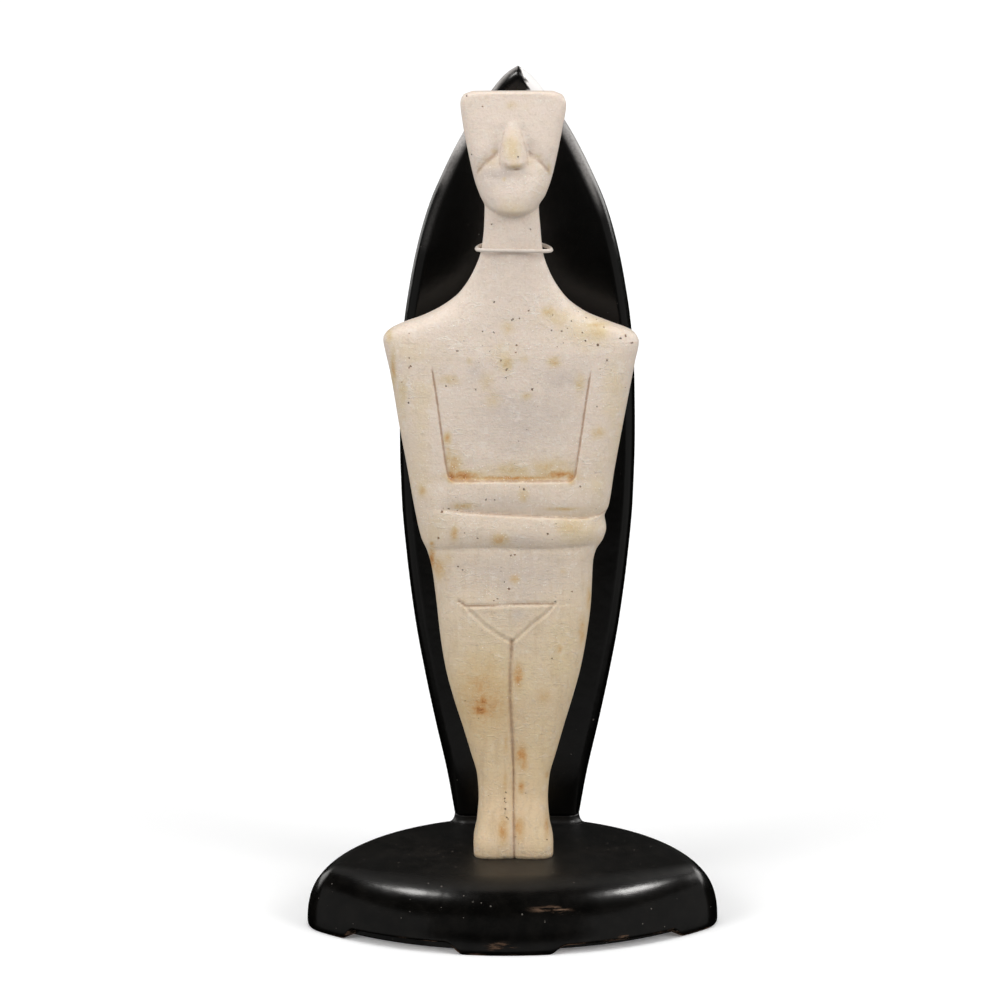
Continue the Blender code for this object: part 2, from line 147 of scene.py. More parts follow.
# %% How thick the figurine is, and how square
BODY_FRONT = (
    (0.0, 12.2), (3.0, 12.5), (14.0, 10.6), (24.0, 9.0), (36.0, 8.6), (50.0, 9.4),
    (62.0, 10.6), (76.0, 11.3), (92.0, 11.7), (110.0, 11.2), (122.0, 11.2),
    (150.0, 11.4), (172.0, 11.2), (185.0, 10.6), (195.0, 9.4), (206.0, 8.3),
    (216.0, 7.5), (226.0, 7.0), (236.0, 6.8), (280.0, 6.0),
)
BODY_BACK = (
    (0.0, 10.0), (3.0, 10.6), (14.0, 9.8), (24.0, 9.6), (36.0, 11.2), (50.0, 12.0),
    (64.0, 11.2), (78.0, 11.6), (92.0, 13.0), (108.0, 11.6), (120.0, 10.8),
    (150.0, 11.8), (172.0, 12.4), (186.0, 12.0), (196.0, 11.0), (206.0, 10.8),
    (220.0, 11.4), (236.0, 12.0), (250.0, 13.0), (260.0, 14.4), (268.0, 14.8),
    (274.0, 11.6), (278.0, 6.4), (280.0, 2.6),
)
HEAD_FRONT = (
    (236.0, 11.5), (240.0, 11.6), (246.0, 11.1), (252.0, 10.1), (260.0, 8.5),
    (270.0, 6.6), (277.0, 5.3), (279.4, 4.9), (279.8, 4.5), (280.0, 3.9),
)
SECTION_POWER = (
    (0.0, 4.9), (24.0, 3.7), (60.0, 4.4), (110.0, 4.4), (185.0, 3.8), (205.0, 2.5),
    (232.0, 2.4), (246.0, 3.0), (262.0, 4.0), (280.0, 4.4),
)
print("belly", through(BODY_FRONT, 100.0).round(1), "mm in front of the middle plane")

# %% [markdown]
# The figurine will be one grid: rows are levels, columns run round each level. The
# carving is finer in some places than in others, so the rows crowd together at the
# face, the forearms and the groin, and the columns crowd where the long upright lines
# of the chest and the legs run. One helper shares out any number of places so.

# %% Rows and columns of the figurine's grid
FIGURE_ROWS = 322
FRONT_COLUMNS = 240
BACK_COLUMNS = 62
FOOT_SEAT = 0.3
FINE_LEVELS = 2804
FINE_TURNS = 2001


def share_out(places, density, count):
    """Count places, spaced so that equal steps hold equal sums of the density."""
    steps = np.diff(places) * (density[1:] + density[:-1]) / 2
    total = np.concatenate([[0], np.cumsum(steps)])
    return np.interp(np.linspace(0, total[-1], count), total, places)


fine = np.linspace(-FOOT_SEAT, TALL, FINE_LEVELS)
slope = np.gradient(through(LEFT_OUTLINE, fine), fine)
crowding = 1 + 1.1 * between(fine, 236, 278, 3) + 1.8 * between(fine, 113, 144, 3)
crowding += 0.9 * between(fine, 80, 98, 3)
heights = share_out(fine, np.hypot(1, slope) * crowding, FIGURE_ROWS)[:, None]

turn = np.linspace(-1, 1, FINE_TURNS)
reach = np.abs(np.sin(np.pi / 2 * turn))
crowding = 1 + 2.6 * between(reach, 0.57, 0.67, 0.02) + 2.0 * between(reach, 0, 0.05, 0.02)
front = np.sin(np.pi / 2 * share_out(turn, crowding, FRONT_COLUMNS + 1)[:-1])
back = np.sin(np.pi / 2 * np.linspace(1, -1, BACK_COLUMNS + 1)[:-1])
across = np.concatenate([front, back])[None, :]
is_front = np.concatenate([np.ones(len(front)), np.zeros(len(back))])[None, :] > 0.5
half = np.where(across < 0, through(LEFT_OUTLINE, heights), through(RIGHT_OUTLINE, heights))
x, z = np.broadcast_arrays(half * across, heights)
print("grid of", x.shape, "with steps of", np.diff(heights[:, 0]).min().round(2), "mm up")

# %% [markdown]
# Every carved form is a function that takes the grid's x and z and gives how far the
# marble stands out there, in millimetres. Sunk forms are negative. The first is the
# chest: the carver lowered it between the arms, most at the foot, where it ends on a
# ledge, and drew a fine line round it. A rounded corner is the set of places that are
# one radius away from its own centre, so the distance inside it is easy to work out.

# %% The sunken chest
LEDGE = 141.0
CHEST_LEFT = ((141.0, 22.9), (146.0, 24.1), (158.0, 25.8), (170.0, 27.4), (183.0, 29.4))
CHEST_RIGHT = ((141.0, 22.1), (148.0, 23.2), (160.0, 24.9), (172.0, 26.6), (184.0, 28.4))
CHEST_DEPTH = ((141.0, 1.5), (150.0, 1.0), (162.0, 0.7), (174.0, 0.45), (186.0, 0.0))
CHEST_CORNER = 2.4
ARM_RAISE = 0.7


def inside_corner(a, b, radius):
    """Depth inside a corner that lies a and b from its two sides and is rounded."""
    short_a, short_b = radius - a, radius - b
    outside = np.hypot(np.maximum(short_a, 0), np.maximum(short_b, 0))
    return radius - outside - np.minimum(np.maximum(short_a, short_b), 0)


def chest(x, z):
    """How far the chest sinks, and its line: two rounded corners on a ledge."""
    left = inside_corner(x + through(CHEST_LEFT, z), z - LEDGE, CHEST_CORNER)
    right = inside_corner(through(CHEST_RIGHT, z) - x, z - LEDGE, CHEST_CORNER)
    inside = np.minimum(left, right)
    fade = np.where(x < 0, 1 - ramp(z, 179, 184), 1 - ramp(z, 177, 184))
    line = hump(inside - 0.15, 0.47) * fade
    return -through(CHEST_DEPTH, z) * ramp(inside, -0.3, 0.9), line


chest_form, chest_line = chest(x, z)
print("the chest lies", -chest_form.min().round(2), "mm below the arms")

# %% [markdown]
# The forearms lie one above the other below the chest. Both start with a crisp upper
# edge. The upper one curves in at its lower side until it meets a deep groove, and
# the lower one starts again from there, stands out furthest and rolls under to the
# belly. On the left the groove runs out into the arm, below a faint upright line that
# marks the elbow.

# %% The folded forearms
GROOVE = (
    (-26.0, 130.3), (-13.2, 129.4), (-1.0, 128.6), (14.0, 127.9), (25.5, 127.5),
    (31.0, 128.3), (34.0, 129.6),
)
ARM_TOP = 186.0
ELBOW_X = -23.8
FOREARM_FOOT = ((-36.0, 114.8), (-27.0, 115.8), (-5.4, 116.5), (9.0, 116.1), (34.0, 117.2))


def forearms(x, z):
    """Two rolls: each a level, plus half a sine wave, less a power that curls it in."""
    groove, foot = through(GROOVE, x), through(FOREARM_FOOT, x)
    upper = np.clip((LEDGE - z) / (LEDGE - groove), 0, 1)
    lower = np.clip((groove - z) / (groove - foot), 0, 1)
    whole = np.clip((LEDGE - z) / (LEDGE - foot), 0, 1)
    upper_form = ARM_RAISE + 0.35 * np.sin(np.pi * upper) - 1.15 * upper ** 4
    lower_form = 1.0 + 0.7 * np.sin(np.pi * lower) - 1.1 * lower ** 5
    parted = ramp(x, -30.0, -18.5)
    cut = hump(z - groove, 0.45) * parted
    form = lower_form + (upper_form - lower_form) * ramp(z, groove - 0.35, groove + 0.45)
    plain = ARM_RAISE + 0.8 * np.sin(np.pi * whole) - 0.6 * whole ** 5
    form = plain + (form - plain) * parted - 0.5 * cut
    elbow_line = hump(x - ELBOW_X, 0.45) * between(z, 130.5, 139.0, 1.5)
    form = form * ramp(z, foot - 0.9, foot + 0.7) - 0.07 * elbow_line
    crease = hump(z - foot + 0.7, 0.8) * between(x, -28, 30, 3)
    above = ARM_RAISE * (1 - ramp(z, LEDGE, ARM_TOP))
    form = np.where(z > LEDGE, above, form) - 0.15 * crease
    return form, np.maximum(cut, 0.15 * elbow_line), crease


arm_form, arm_cut, arm_crease = forearms(x, z)
print("the lower forearm stands", arm_form.max().round(2), "mm out")

# %% [markdown]
# Incised lines follow a path of a few points. The distance from a place to a straight
# piece of the path is its distance to the nearest point of that piece, and a line's
# depth is a bell of that distance. The groin is a wide triangle of such lines, with a
# light scratch where the tool ran on to the right, and one line parts the legs from
# there to the soles, in a valley that deepens downwards. Low lips run along the lines:
# the tool rounds the stone there, and they catch the light.

# %% The groin and the line between the legs
GROIN_TOP = ((-19.9, 96.9), (-17.1, 95.0), (-5.4, 95.5), (5.0, 95.9), (15.5, 96.1))
GROIN_SCRATCH = ((15.5, 96.1), (23.0, 95.7))
GROIN_LEFT = ((-16.6, 94.2), (-9.9, 87.6), (-2.7, 82.7), (-0.4, 82.0))
GROIN_RIGHT = ((14.9, 95.4), (11.8, 92.2), (6.8, 88.3), (1.8, 83.5), (-0.4, 81.6))
LEG_LINE = (
    (-0.4, 81.6), (-0.9, 72.3), (-1.0, 60.6), (-0.1, 43.3), (0.3, 31.9), (0.3, 22.1),
    (0.6, -1.0),
)


def distance_to(path, x, z):
    """Distance from each place to a path of straight pieces."""
    nearest = np.full(x.shape, np.inf)
    for (x0, z0), (x1, z1) in zip(path[:-1], path[1:]):
        run, rise = x1 - x0, z1 - z0
        along = np.clip(((x - x0) * run + (z - z0) * rise) / (run ** 2 + rise ** 2), 0, 1)
        nearest = np.minimum(nearest, np.hypot(x - x0 - along * run, z - z0 - along * rise))
    return nearest


def groin(x, z):
    """Bells of the distance to each line, sunk, and of a place beside it, raised."""
    top = hump(distance_to(GROIN_TOP, x, z), 0.45)
    scratch = hump(distance_to(GROIN_SCRATCH, x, z), 0.35)
    to_side = np.minimum(distance_to(GROIN_LEFT, x, z), distance_to(GROIN_RIGHT, x, z))
    sides = hump(to_side, 0.5)
    to_legs = distance_to(LEG_LINE, x, z)
    legs = hump(to_legs, 0.6 + 0.3 * between(z, 45, 80, 12))
    lips = 0.12 * hump(to_side - 1.2, 0.5) + 0.12 * hump(to_legs - 1.6, 0.6)
    below_top = through(GROIN_TOP, x) - z
    lip = hump(below_top - 1.3, 1.0) * between(x, -16, 14, 2)
    plate = ramp(below_top, 0, 0.8) * hump(below_top, 12) * between(x, -15, 13, 5)
    valley = hump(x, 5.5) * (1 - ramp(z, 8, 62)) + 0.5 * hump(x, 4) * (1 - ramp(z, 50, 82))
    form = 0.15 * lip + 0.2 * plate + lips - 0.5 * top - 0.15 * scratch
    form -= 0.5 * sides + 0.8 * legs + 0.9 * valley
    dark = np.maximum.reduce([1.15 * top, 0.45 * sides, 0.85 * legs ** 0.7, 0.3 * scratch])
    return form, dark


groin_form, groin_cut = groin(x, z)
print("the line of the legs is", -groin_form.min().round(2), "mm deep with its valley")

# %% [markdown]
# Creases, nose flanks and the dip are also darkened in colour: painted shade there.
# The face has no eyes and no mouth: it is a shield with a nose, a form that was made
# on many such figurines. The nose is a low wedge, narrow at the top and cut off below,
# and the stone is sunk a little beside it. An arched valley crosses both cheeks, with
# a short slope above its crease and a long one below, and the muzzle swells under it,
# below a shallow dip. A small nick under the nose holds earth.
# The chin is a round roll that starts from the neck: a quarter circle of the height
# above the chin line.

# %% The face
NOSE_X = -0.1
NOSE_LEAN = 0.045
NOSE_HALF = (
    (251.6, 3.9), (253.0, 4.4), (254.6, 4.8), (257.5, 4.7), (260.0, 4.3), (262.3, 3.8),
    (265.0, 3.1), (267.5, 2.3), (269.4, 1.6), (271.0, 0.9),
)
NOSE_RAISE = (
    (252.6, 2.2), (257.0, 2.4), (262.0, 1.8), (266.0, 0.9), (268.5, 0.35), (270.5, 0.1),
)
NOSE_END = 253.6
CHIN = 236.2
CHIN_ROLL = 2.2


def chin_roll(x, z):
    """0 on the neck, 1 on the face, and a quarter circle between, above an arched line."""
    t = np.clip((z - CHIN - 3.7 * (x / 10.3) ** 2) / CHIN_ROLL, 0, 1)
    return np.sqrt(1 - (1 - t) ** 2)


def face(x, z):
    """The nose is its raise times 1 less the square of the way out; the rest are bells."""
    off = np.abs(x - NOSE_X - NOSE_LEAN * (262 - z))
    wide = through(NOSE_HALF, z)
    tip = NOSE_END + 1.5 * (off / 4) ** 2.5
    rise = through(NOSE_RAISE, z) * ramp(z, tip - 1.0, tip + 1.1)
    rise = rise * (1 - ramp(z, 268.6, 270.6))
    nose = rise * np.clip(1 - (off / wide) ** 2.0, 0, 1) ** 0.8
    brow = 0.12 * hump(off, 2.4) * between(z, 266, 273, 5)
    above = z - 260.6 + 9.3 * (x / 13.5) ** 2
    cheeks = between(np.abs(x), 6.0, 12.5, 3.5)
    valley = np.where(above > 0, hump(above, 3.6), 1 - ramp(-above, 0, 9)) * cheeks
    crease = hump(above + 0.4, 1.3) * between(np.abs(x), 6.0, 12.3, 1.6)
    muzzle = hump(np.hypot(x / 11.5, (z - 243.0) / 6.0), 1.0)
    beside = hump(off - wide - 1.0, 1.7) * between(z, 256, 266, 4)
    dip = hump(z - 250.8 - 0.05 * x, 1.6) * between(x, -8, 6, 4)
    nick = hump(np.hypot((x - 1.2) / 1.4, (z - 253.2) / 0.45), 1.0)
    form = nose + brow - 1.0 * valley - 0.35 * crease + 0.45 * muzzle
    form += -0.45 * beside - 0.30 * dip - 0.35 * nick
    outline = hump(off - wide - 0.2, 0.6) * between(z, 255, 266, 2)
    # The second and fourth values darken creases, nose flanks and the dip: painted shade.
    return form * (z > CHIN), np.maximum(crease, 0.66 * outline), nick, dip


face_form, cheek_crease_shade, nostril, mouth_dip_shade = face(x, z)
print("the nose stands", face_form.max().round(2), "mm off the face")

# %% [markdown]
# A carved and rubbed surface is never a true plane. A sum of a few slow waves, a
# tenth of a millimetre high, takes the machine-made look off it. The back of such a
# figurine is plain: a furrow for the spine, a line between the legs, and hollows that
# set off the arms.

# %% Hand work, and the back
def hand_work(x, z):
    """Slow waves that cross each other, each the product of two sines."""
    slow = np.sin(0.21 * x + 1.3) * np.sin(0.13 * z + 0.4)
    quick = np.sin(0.47 * x + 0.31 * z) * np.sin(0.38 * z - 0.29 * x + 2.0)
    return 0.10 * slow + 0.05 * quick


def back_form(x, z):
    """Spine furrow, leg line with its valley, and a shallow hollow inside each arm."""
    spine = hump(x - 0.5, 2.2) * between(z, 98, 225, 12)
    legs = hump(x - 0.2, 0.8) * (1 - ramp(z, 70, 78))
    valley = hump(x, 7) * (1 - ramp(z, 20, 84))
    arms = hump(np.abs(x) - 0.62 * half, 2.2) * between(z, 126, 176, 12)
    seat = hump(z - 80, 3.5) * between(np.abs(x), 0, 17, 6)
    return -0.8 * spine - 0.9 * legs - 1.2 * valley - 0.9 * arms - 0.8 * seat


power = through(SECTION_POWER, heights)
bulge = (1 - np.abs(across) ** power) ** (1 / power)
edge = 1 - np.abs(across) ** 8
relief = chest_form + arm_form + groin_form + face_form - 0.5 * chest_line
body = through(BODY_FRONT, z)
front_y = body + (through(HEAD_FRONT, z) - body) * chin_roll(x, z)
front_y = front_y * bulge + (relief + hand_work(x, z)) * edge
back_y = through(BODY_BACK, z) * bulge + (back_form(x, z) + hand_work(x, z)) * edge
y = MIDDLE_Y + np.where(is_front, -front_y, back_y)
figure_points = np.stack([x, y, z + SOLE], 2)
print("the figurine is", np.ptp(y).round(1), "mm deep")

# %% [markdown]
# All the pieces of wood and stone are stacks of rings, so one function gives them
# their skin: a four-sided face between each two rings, and a fan of triangles that
# closes either end. A second one stores a number at each vertex under a name, which
# the materials will read: where a stain sits, or where an edge is worn.

# %% A skin over a stack of rings
def skin(name, rings, tip=None):
    """A closed piece over rings that run counter-clockwise from above, lowest first."""
    rows, around = rings.shape[:2]
    ends = np.stack([rings[0].mean(0), rings[-1].mean(0) if tip is None else tip])
    points = np.vstack([rings.reshape(-1, 3), ends]) * MM
    here = np.arange((rows - 1) * around).reshape(rows - 1, around)
    there = np.roll(here, -1, axis=1)
    walls = np.stack([here, there, there + around, here + around], 2).reshape(-1, 4)
    first, last = here[0], here[-1] + around
    low, high = np.full(around, rows * around), np.full(around, rows * around + 1)
    floor = np.stack([low, there[0], first], 1)
    roof = np.stack([high, last, np.roll(last, -1)], 1)
    mesh = bpy.data.meshes.new(name)
    faces = walls.tolist() + floor.tolist() + roof.tolist()
    mesh.from_pydata(points.tolist(), [], faces)
    mesh.shade_smooth()
    piece = bpy.data.objects.new(name, mesh)
    bpy.context.scene.collection.objects.link(piece)
    triangles = 2 * len(walls) + 2 * around
    print(name, "has", triangles, "triangles")
    return piece


def mark(piece, name, values):
    """Stores one number a vertex: the rings' own, and each end's as its ring's mean."""
    values = np.asarray(values, float)
    every = np.concatenate([values.ravel(), [values[0].mean(), values[-1].mean()]])
    layer = piece.data.attributes.new(name, "FLOAT", "POINT")
    layer.data.foreach_set("value", every.astype(np.float32))


figurine = skin("figurine_marble", figure_points)

# %% [markdown]
# Forty-odd centuries in the ground left their marks. Iron in the soil stained the
# corners of the chest orange and the thigh red-brown, and yellowed the shoulders and
# the legs, while the chest and the belly stayed cool and grey. Earth stayed in the
# incised lines, and dark crumbs of mineral grew in patches. Each mark is a bell of its
# own size on the front of the figurine, and noise in the material will fray its edges.
# A few bells on the face, beside the foot of the nose, are painted shade, not stains.

# %% Stains on the marble
# Each row is a bell: across, up, half width, half height and strength.
STAINS = (
    # the face
    (-0.5, 275.5, 2.2, 1.8, 0.42), (-0.2, 260.0, 3.8, 7.5, 0.33),
    (0.6, 254.2, 3.5, 1.3, 0.50), (-6.8, 259.2, 1.4, 1.0, 0.55),
    # The bells at (-9.8, 256.2), (6.3, 254.5), (9.5, 252.0) and (-8.0, 255.5) are painted shade
    # beside the foot of the nose.
    (8.8, 257.6, 1.6, 1.2, 0.42), (-9.8, 256.2, 2.4, 1.2, 0.30),
    (-11.8, 253.3, 1.2, 2.4, 0.45), (12.7, 253.0, 1.0, 2.6, 0.50),
    (-3.2, 249.7, 0.8, 0.7, 0.80), (6.3, 254.5, 3.2, 4.5, 0.24),
    (9.5, 252.0, 3.0, 7.0, 0.18), (-8.0, 255.5, 4.0, 2.8, 0.34),
    (0.5, 238.7, 5.0, 2.0, 0.30),
    # the shoulders and the upper chest
    (12.8, 201.8, 3.5, 3.0, 0.50), (16.5, 199.6, 4.0, 3.0, 0.50),
    (30.0, 197.2, 5.0, 1.0, 0.62), (30.0, 194.5, 4.5, 3.0, 0.50),
    (-44.6, 193.0, 1.6, 3.0, 0.66), (-43.0, 181.0, 1.2, 8.0, 0.72),
    (-39.6, 173.0, 1.6, 5.0, 0.50), (-1.9, 196.4, 3.0, 3.0, 0.42),
    (-2.4, 183.7, 2.6, 2.6, 0.74), (14.5, 184.2, 2.7, 2.4, 0.70),
    (4.1, 185.3, 2.0, 2.0, 0.38), (-15.5, 184.8, 1.4, 1.6, 0.45),
    (-22.6, 177.8, 4.0, 2.0, 0.58), (-9.5, 177.0, 3.5, 4.0, 0.42),
    (-7.5, 170.8, 3.4, 3.6, 0.44), (4.7, 172.1, 2.5, 2.0, 0.50),
    (23.8, 176.5, 2.2, 4.5, 0.50),
    # the lower chest and its two corners
    (30.5, 158.7, 3.2, 2.6, 0.55), (-23.5, 156.5, 1.7, 2.4, 0.90),
    (-23.2, 150.5, 1.3, 5.0, 0.70), (-22.0, 142.9, 2.0, 2.4, 1.25),
    (-17.5, 142.9, 6.5, 2.2, 1.12), (-21.0, 146.5, 3.0, 6.0, 0.74),
    (-0.2, 145.0, 8.0, 3.5, 0.50), (14.0, 145.5, 9.0, 5.0, 0.50),
    (16.0, 143.4, 6.5, 1.8, 1.05), (20.8, 142.7, 1.7, 2.4, 1.20),
    (0.0, 142.1, 22.0, 1.0, 0.95),
    # the forearms and the belly
    (-4.8, 119.8, 3.8, 3.0, 0.64), (-21.1, 121.9, 1.7, 3.6, 0.66),
    (3.7, 136.2, 2.2, 3.0, 0.58), (-17.8, 132.1, 4.2, 1.6, 0.70),
    (17.7, 131.0, 7.0, 0.8, 0.75), (20.8, 124.4, 5.0, 3.0, 0.45),
    (0.7, 105.1, 2.3, 2.0, 0.55), (-29.3, 112.0, 1.3, 5.5, 1.00),
    (-27.0, 108.5, 3.0, 5.0, 0.66), (-23.4, 112.7, 2.6, 2.6, 0.40),
    (-32.8, 137.2, 1.9, 3.0, 0.55), (18.3, 108.0, 1.5, 1.0, 0.60),
    (27.6, 97.0, 1.2, 6.0, 0.60), (-29.4, 117.8, 1.0, 1.0, 1.00),
    # the thighs, the shins and the feet
    (-12.1, 55.6, 3.4, 2.4, 1.35), (-10.6, 59.4, 2.2, 2.6, 1.15),
    (-12.0, 56.5, 6.0, 6.5, 0.84), (-10.5, 60.0, 11.5, 16.0, 0.66),
    (1.9, 68.7, 2.0, 5.2, 1.00), (3.1, 38.3, 2.4, 4.8, 1.00), (3.9, 34.5, 2.0, 2.4, 0.80),
    (-2.5, 42.6, 1.0, 4.6, 0.60), (3.1, 26.1, 1.3, 2.6, 1.05), (-2.8, 27.8, 0.9, 4.2, 0.60),
    (-3.5, 10.3, 2.2, 5.6, 0.84), (2.4, 11.2, 2.2, 5.0, 0.84), (12.4, 11.2, 1.2, 4.8, 0.80),
    (-15.8, 51.0, 1.3, 4.6, 0.50), (25.2, 85.4, 1.6, 6.0, 0.70),
    (-17.4, 69.5, 3.6, 3.6, 0.42), (12.6, 30.3, 1.0, 1.0, 1.00),
    (16.9, 79.0, 1.1, 1.8, 0.66), (11.3, 61.6, 3.0, 4.0, 0.48),
)


def bells(spots, x, z):
    """The strongest of several bells at each place."""
    field = np.zeros(x.shape)
    for at_x, at_z, wide, tall, strength in spots:
        field = np.maximum(field, strength * hump(np.hypot((x - at_x) / wide, (z - at_z) / tall), 1))
    return field


front_only = np.where(is_front, 1.0, 0.0)
mark(figurine, "stain", bells(STAINS, x, z) * front_only)
print(len(STAINS), "stains")

# %% [markdown]
# The stone itself is warmer in some places and cooler in others, and bells that are
# broader than the stains' say where. The cool ones are taken away from the warm ones,
# which leaves one number: yellow above nothing and grey below. A few cool bells beside
# and under the nose are painted shade, greying the stone where shade falls. Where dark
# crumbs grew is a number of its own. So is how much earth the incised lines hold, and
# the same number also darkens the face's creases and the dip under the nose as painted
# shade.

# %% Warm and cool stone, crumbs, earth, and painted shade on the face
WARM = (
    (-36, 188, 10, 8, 0.6), (27, 195, 15, 8, 0.9), (-41, 168, 5, 22, 0.6),
    (37, 168, 7, 26, 0.9), (-3, 185, 7, 8, 0.8), (0, 239, 8, 4, 0.8),
    (-0.3, 260, 4, 8, 1.1), (0, 277, 14, 3, 0.3), (-33, 160, 6, 26, 0.7),
    (-11, 62, 11, 23, 1.3), (18, 80, 8, 18, 1.0), (9, 40, 7, 22, 0.6), (-9, 8, 6, 8, 0.8),
    (9, 8, 6, 8, 0.8), (3, 145, 20, 5, 0.8), (22, 122, 10, 6, 0.8), (-29, 122, 5, 8, 0.6),
    (30, 142, 5, 14, 0.6), (-16, 86, 7, 8, 0.5), (0, 275, 6, 3, 0.5), (10, 248, 5, 9, 0.5),
    (4, 68, 6, 12, 0.7), (-8, 40, 6, 10, 0.5),
)
# The COOL bells at (6.2, 260.5), (-6.2, 261.5) and (-4, 251.5) are painted shade, greying the stone
# beside the nose and under it.
COOL = (
    (2, 162, 18, 14, 0.9), (-2, 134, 21, 4.5, 0.65), (1, 106, 28, 13, 1.1),
    (-4, 251.5, 11, 4.5, 1.2), (0, 222, 9, 9, 0.4), (6.2, 260.5, 2.4, 6.5, 0.40),
    (-6.2, 261.5, 2.6, 6.5, 0.6), (4, 120, 15, 4, 0.8), (-27, 156, 3, 12, 0.4),
    (2, 92, 9, 4, 0.8), (0, 3, 2, 12, 0.5), (17, 178.5, 9, 6, 0.7), (-12, 180.5, 7, 4, 0.9),
    (-8, 6, 5, 4, 0.6),
)
CRUMBS = (
    (-4, 190, 10, 10, 0.8), (-22, 178, 7, 5, 0.5), (24, 197, 12, 6, 1.0),
    (4, 175, 9, 9, 0.5), (-22, 131, 9, 3, 1.0), (-20, 121, 6, 4, 0.6),
    (12, 124, 14, 4, 0.5), (0, 139, 12, 2, 0.5), (-2, 108, 12, 8, 0.30),
    (24, 122, 6, 5, 0.4), (22, 97, 6, 3, 0.2), (-5, 60, 6, 9, 0.4), (-3, 14, 2, 14, 0.7),
    (3, 12, 3, 9, 0.5), (0, 262, 14, 14, 0.05), (34, 180, 5, 14, 0.6),
    (-38, 178, 5, 14, 0.5), (14, 77, 6, 8, 0.4), (-2, 96.5, 14, 1.5, 0.9),
)
mark(figurine, "cast", (bells(WARM, x, z) - bells(COOL, x, z)) * front_only)
mark(figurine, "crumbs", bells(CRUMBS, x, z) * front_only)
# Earth in the incised lines, and painted shade in the face's creases and under the nose.
earth = np.maximum.reduce([
    1.0 * chest_line, 0.75 * arm_cut, 0.85 * groin_cut, 0.25 * arm_crease,
    0.70 * cheek_crease_shade, 1.0 * nostril, 0.30 * mouth_dip_shade,
])
mark(figurine, "earth", earth * front_only)
print("earth covers", round(100 * (earth > 0.5).mean(), 1), "percent of the grid")

# %% [markdown]
# The board behind the figurine is a leaf cut from a plank, flat on both faces, with
# its rim rounded over all the way to the tip. Near the tip the leaf is narrower than
# two rims. There the rounding may only turn as far as the wood goes, which is the
# arc cosine of the width that is left.

# %% The leaf-shaped board
board_low, board_high = node_box("stand_back")
BOARD_X = 1.8
BOARD_RIM = 4.6
BOARD_ROWS = 300
RIM_COLUMNS = 18
FLAT_COLUMNS = 9
TIP_CAP = 0.15
TIP_CROWDING = 0.11
BOARD_OUTLINE = (
    (27.5, 23.8), (44.0, 26.7), (63.0, 30.9), (83.0, 35.0), (103.0, 38.5),
    (128.0, 41.6), (150.0, 43.4), (174.0, 44.0), (198.0, 43.6), (216.0, 42.2),
    (232.0, 39.8), (246.0, 36.9), (260.0, 32.8), (272.0, 27.7), (287.0, 20.0),
    (302.0, 9.9), (308.6, 4.2), (311.3, 0.0),
)


def board_quarter(up):
    """A quarter of each level: x from the rim's edge to the middle, and y outwards."""
    wide = through(BOARD_OUTLINE, up)
    lean = through(BOARD_OUTLINE, up + 0.5) - through(BOARD_OUTLINE, up - 0.5)
    square = 1 / np.hypot(1, lean)
    last = np.arccos(1 - np.minimum(wide * square / BOARD_RIM, 1))
    angle = last * np.linspace(0, 1, RIM_COLUMNS)[None, :]
    rim_x = wide - BOARD_RIM * (1 - np.cos(angle)) / square
    rim_y = np.sin(angle)
    inner = np.linspace(1, 0, FLAT_COLUMNS + 1)[None, 1:-1]
    flat_x = rim_x[:, -1:] * inner
    flat_y = np.broadcast_to(rim_y[:, -1:], flat_x.shape)
    return np.hstack([rim_x, flat_x]), np.hstack([rim_y, flat_y])


def board_ring(up):
    """The quarter in its four mirrored places, counter-clockwise from the right edge."""
    qx, qy = board_quarter(up)
    ring_x = np.hstack([qx, -qx[:, ::-1], -qx[:, 1:], qx[:, :0:-1]])
    ring_y = np.hstack([qy, qy[:, ::-1], -qy[:, 1:], -qy[:, :0:-1]])
    return ring_x, ring_y


share = np.linspace(0, 1, BOARD_ROWS)[:, None]
foot, tip = board_low[2], board_high[2]
crowded = share + TIP_CROWDING * np.sin(2 * np.pi * share) * share
board_up = foot + (tip - TIP_CAP - foot) * crowded
ring_x, ring_y = board_ring(board_up)
thick = (board_high[1] - board_low[1]) / 2
board_y = (board_high[1] + board_low[1]) / 2
board_points = np.stack(np.broadcast_arrays(
    BOARD_X + ring_x, board_y + thick * ring_y, board_up), 2)
board = skin("stand_board", board_points, (BOARD_X, board_y, tip))

# %% [markdown]
# Four numbers at each vertex say how the black of the board varies. One is a painted
# highlight: the black is made grey along the upper rim and nearly white at the tip,
# where the rim catches the light. The other three are age: wear is where brown wood
# shows, dust is what cloths leave behind, and matte is where the polish has gone. All
# are ramps and bells of two things: the height, and the distance from the outline. At
# the tip the painted highlight ends on a ragged edge, a sum of two sine waves.

# %% Where the board is worn, and its painted highlight
from_edge = through(BOARD_OUTLINE, board_up) - np.abs(ring_x)
outer = 1 - ramp(from_edge, 1.0, 2.8)
# Painted highlight: grey along the upper rim on both sides, white at the tip.
right_painted_glare = 0.40 * outer * ramp(board_up, 262, 276)
right_painted_glare += 0.33 * hump(from_edge - 2.7, 1.1) * ramp(board_up, 255, 270)
left_painted_glare = (1 - ramp(from_edge, 1.0, 4.6)) * (
    0.26 * ramp(board_up, 265, 273) + 0.45 * ramp(board_up, 276, 283))
left_painted_glare += 0.04 * hump(from_edge - 2.8, 1.2) * between(board_up, 248, 268, 6)
point = ramp(board_up, 291, 299)
ragged_edge = 0.5 * np.sin(2.1 * board_up) + 0.3 * np.sin(4.7 * board_up + 1)
right_point = 1.8 * ramp(ring_x - 0.9 - 0.40 * (tip - board_up) - ragged_edge, -0.4, 0.5)
left_point = 0.65 * (1 - ramp(from_edge, 0, 2.4))
right_painted_glare = right_painted_glare + (right_point - right_painted_glare) * point
